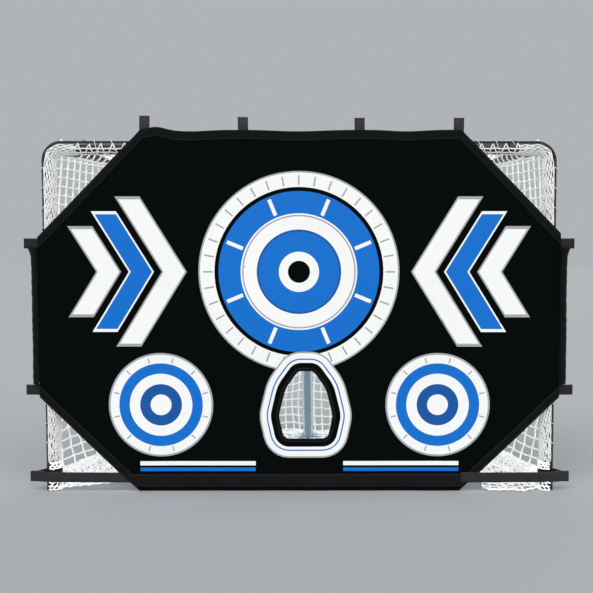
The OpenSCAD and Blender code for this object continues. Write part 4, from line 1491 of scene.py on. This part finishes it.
class GOAL_OT_straps(bpy.types.Operator):
    """Webbing straps that hold the target to the tubes"""

    bl_idname = "goal.straps"
    bl_label = "Straps"

    def execute(self, context):
        sizes = context.scene.goal_target
        colour = context.scene.goal_colours.webbing
        webbing = ribbed_webbing("Strap Webbing", colour)
        # Painted light and shade: the top straps get a lighter copy and the side straps a darker
        # copy of the same webbing colour.
        painted_light_webbing = ribbed_webbing("Top Webbing Painted Light", shade(colour, 2.1))
        dark = ribbed_webbing("Side Webbing Painted Shade", shade(colour, 0.45))
        for index, (node, side, lean, shift, rise) in enumerate(TOP_STRAPS):
            low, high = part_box(node)
            middle = (low.x + high.x) / 2 + shift
            line = strap_line(high.z - BAR_Z + rise, sizes.strap_t, 0.0015 + 0.0006 * index)
            places = [(middle + 0.02 * side * lean * max(0.0, a), GOAL_Y + b, BAR_Z + a)
                      for a, b in line]
            finish_piece(ribbon(node + "_webbing", places, (1, 0, 0), sizes), painted_light_webbing,
                         "webbing", node)
        for side, hand in SIDES:
            for node in (hand + "_upper_strap", hand + "_lower_strap"):
                low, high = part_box(node)
                middle = (low.z + high.z) / 2
                out_end = (high.x if side > 0 else -low.x) - POST_X
                places = [(side * (POST_X + a), GOAL_Y + b, middle + 0.012 * max(0.0, a))
                          for a, b in strap_line(out_end, sizes.strap_t, 0.002)]
                finish_piece(ribbon(node + "_webbing", places, (0, 0, 1), sizes), dark,
                             "webbing", node)
        for side, hand in SIDES:
            self.foot_strap(hand + "_foot_strap", side, sizes, webbing)
        return {"FINISHED"}

    def foot_strap(self, node, side, sizes, webbing):
        """A loop round the post's foot, and the long run across the corner to the panel."""
        low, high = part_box(node)
        front_y = low.y - GOAL_Y + sizes.strap_t / 2
        near, far = ((low.x, high.x) if side > 0 else (-high.x, -low.x))
        near, far = near - POST_X, far - POST_X

        def place(a, b, slope):
            return side * (POST_X + a), GOAL_Y + b, FOOT_STRAP_Z + slope * (b - front_y)

        loop = ribbon(node + "_loop", [place(a, b, FOOT_SLOPE) for a, b
                                       in strap_line(far, sizes.strap_t, 0.001)],
                      (0, 0, 1), sizes)
        front_r = STRAP_IN_R + sizes.strap_t * 1.6
        knots = ((near, front_y), (near + 0.095, front_y), (-0.012, -front_r - 0.0006),
                 (0.030, -0.0285), (0.054, -0.0212), (far + 0.002, -0.0214))
        run = []
        for (a0, b0), (a1, b1) in zip(knots, knots[1:]):
            steps = max(2, int(abs(a1 - a0) / 0.012))
            for i in range(steps):
                a, b = lerp_place((a0, b0), (a1, b1), i / steps)
                run.append((a, b - abs(0.0006 * math.sin(a * 60))))
        run.append(knots[-1])
        band = ribbon(node + "_run", [place(a, b, FOOT_SLOPE * 0.35) for a, b in run],
                      (0, 0, 1), sizes)
        finish_piece(loop, webbing, "webbing", node)
        finish_piece(band, webbing, "webbing", node)


# ---- frame finishes ----


class GOAL_OT_frame_finish(bpy.types.Operator):
    """Enamel on the tubes, zinc on the bolts and plastic on the end caps"""

    bl_idname = "goal.frame_finish"
    bl_label = "Frame Finish"

    def execute(self, context):
        colours = context.scene.goal_colours
        front = enamel("Front Enamel", colours.front_paint, 0.20, (0.045, 0.024, 0.024))
        plated = enamel("Plated Tube", colours.plating, 0.20, (0.42, 0.50, 0.54), 0.80)
        zinc = zinc_plate(colours.zinc)
        plastic = moulded_plastic(colours.cap)
        coats = {
            front: ("left_post", "right_post", "crossbar",
                    "shelf_left", "shelf_right", "shelf_rear"),
            plated: ("center_post", "base_left", "base_right", "base_rear"),
            zinc: ("frame_bolts", "frame_nuts"),
            plastic: ("left_post_cap", "right_post_cap"),
        }
        for material, nodes in coats.items():
            for node in nodes:
                coat(frame["nodes"][node], material)
        return {"FINISHED"}


class GOAL_OT_net_light(bpy.types.Operator):
    """Lamps that reach the netting past the dark target"""

    bl_idname = "goal.net_light"
    bl_label = "Net Light"

    def execute(self, context):
        nets = bpy.data.collections.new("Netting")
        for name in ("net_right_mesh", "net_left_mesh", "net_back_mesh", "net_top_mesh"):
            nets.objects.link(bpy.data.objects[name])
        nets.objects.link(frame["nodes"]["center_post"])
        for name, turn in (("Net Left", (76, 0, -68)), ("Net Right", (76, 0, 72))):
            holder = sun(name, turn, 1.50, 40, False)
            holder.light_linking.receiver_collection = nets
        return {"FINISHED"}


class GOAL_OT_declare_cloth(bpy.types.Operator):
    """Gathers the trims sewn on the panel into a list, which is not used further"""

    bl_idname = "goal.declare_cloth"
    bl_label = "Declare Cloth"

    def execute(self, context):
        trims = [o for o in bpy.data.objects if o.name.endswith("_tape")]
        trims += [bpy.data.objects[n] for n in ("top_hem_cloth", "bottom_band_cloth",
                                                "panel_stitching")]
        return {"FINISHED"}


# ---- stage ----


def sun(name, turn, strength, angle, shadow):
    lamp = bpy.data.lights.new(name, "SUN")
    lamp.energy = strength
    lamp.angle = math.radians(angle)
    lamp.use_shadow = shadow
    holder = bpy.data.objects.new(name, lamp)
    holder.rotation_euler = [math.radians(a) for a in turn]
    bpy.context.scene.collection.objects.link(holder)
    return holder


class GOAL_OT_stage(bpy.types.Operator):
    """Pale floor, soft lights and the camera"""

    bl_idname = "goal.stage"
    bl_label = "Stage"

    def execute(self, context):
        colours = context.scene.goal_colours
        context.scene.view_settings.view_transform = "Standard"
        self.floor(colours)
        self.world(context, colours)
        for name, turn, strength, angle, shadow in (
            ("Key", (42, 0, -30), 1.00, 30, True), ("Fill", (44, 0, 34), 0.75, 40, True),
            ("Front", (74, 0, 5), 0.75, 40, False), ("Rear", (-68, 0, -8), 0.80, 50, False),
        ):
            sun(name, turn, strength, angle, shadow)
        self.camera(context)
        return {"FINISHED"}

    def floor(self, colours):
        deselect_all()
        bpy.ops.mesh.primitive_circle_add(vertices=96, radius=90, fill_type="NGON",
                                          location=(0, 0, 0))
        floor = bpy.context.active_object
        floor.name = "floor"
        material, shader = new_material("Studio Floor", shade(colours.floor, 0.92), 0.9,
                                        Specular_IOR_Level=0.05)
        coat(floor, material)

    def world(self, context, colours):
        """Soft white light, and the floor's colour where the camera and gloss see it."""
        world = bpy.data.worlds.new("Studio")
        context.scene.world = world
        world.use_nodes = True
        tree = world.node_tree
        light = connect(tree.nodes["Background"], Color=(1.0, 1.0, 1.0), Strength=0.50)
        seen = add_node(tree, "ShaderNodeBackground", Color=colours.floor, Strength=1.0)
        rays = tree.nodes.new("ShaderNodeLightPath").outputs
        camera_or_gloss = calculate("MAXIMUM", rays["Is Camera Ray"], rays["Is Glossy Ray"])
        mix = add_node(tree, "ShaderNodeMixShader", Fac=calculate(
            "MAXIMUM", camera_or_gloss, rays["Is Transmission Ray"]))
        join(light.outputs["Background"], mix.inputs[1])
        join(seen.outputs["Background"], mix.inputs[2])
        connect(tree.nodes["World Output"], Surface=mix.outputs["Shader"])

    def camera(self, context):
        lens = bpy.data.cameras.new("Camera")
        lens.sensor_width = 36
        lens.lens = 57.6
        lens.shift_x = -0.0765
        lens.shift_y = 0.0252
        lens.clip_end = 400
        camera = bpy.data.objects.new("Camera", lens)
        camera.location = (0.16, GOAL_Y - 3.582, 0.880)
        camera.rotation_euler = (math.radians(86.8), 0, 0)
        context.scene.collection.objects.link(camera)
        context.scene.camera = camera


class GOAL_PT_panel(bpy.types.Panel):
    """Lists the steps that finish the goal"""

    bl_idname = "GOAL_PT_panel"
    bl_label = "Ice Hockey Goal"
    bl_space_type = "VIEW_3D"
    bl_region_type = "UI"
    bl_category = "Goal"

    def draw(self, context):
        for step in STEPS:
            self.layout.operator(step.bl_idname)


STEPS = (
    GOAL_OT_stage, GOAL_OT_frame_finish, GOAL_OT_wall_nets, GOAL_OT_top_net, GOAL_OT_lacing,
    GOAL_OT_target_panel, GOAL_OT_panel_trims, GOAL_OT_side_flaps, GOAL_OT_straps,
    GOAL_OT_net_light, GOAL_OT_declare_cloth,
)
GROUPS = (GoalColours, GoalNetting, GoalTarget)
CLASSES = GROUPS + STEPS + (GOAL_PT_panel,)


def register():
    for cls in CLASSES:
        bpy.utils.register_class(cls)
    bpy.types.Scene.goal_colours = PointerProperty(type=GoalColours)
    bpy.types.Scene.goal_netting = PointerProperty(type=GoalNetting)
    bpy.types.Scene.goal_target = PointerProperty(type=GoalTarget)


def unregister():
    del bpy.types.Scene.goal_target
    del bpy.types.Scene.goal_netting
    del bpy.types.Scene.goal_colours
    for cls in reversed(CLASSES):
        bpy.utils.unregister_class(cls)


def main():
    register()
    bpy.ops.goal.stage()
    bpy.ops.goal.frame_finish()
    bpy.ops.goal.wall_nets()
    bpy.ops.goal.top_net()
    bpy.ops.goal.lacing()
    bpy.ops.goal.target_panel()
    bpy.ops.goal.panel_trims()
    bpy.ops.goal.side_flaps()
    bpy.ops.goal.straps()
    bpy.ops.goal.net_light()
    bpy.ops.goal.declare_cloth()


if __name__ == "__main__":
    main()
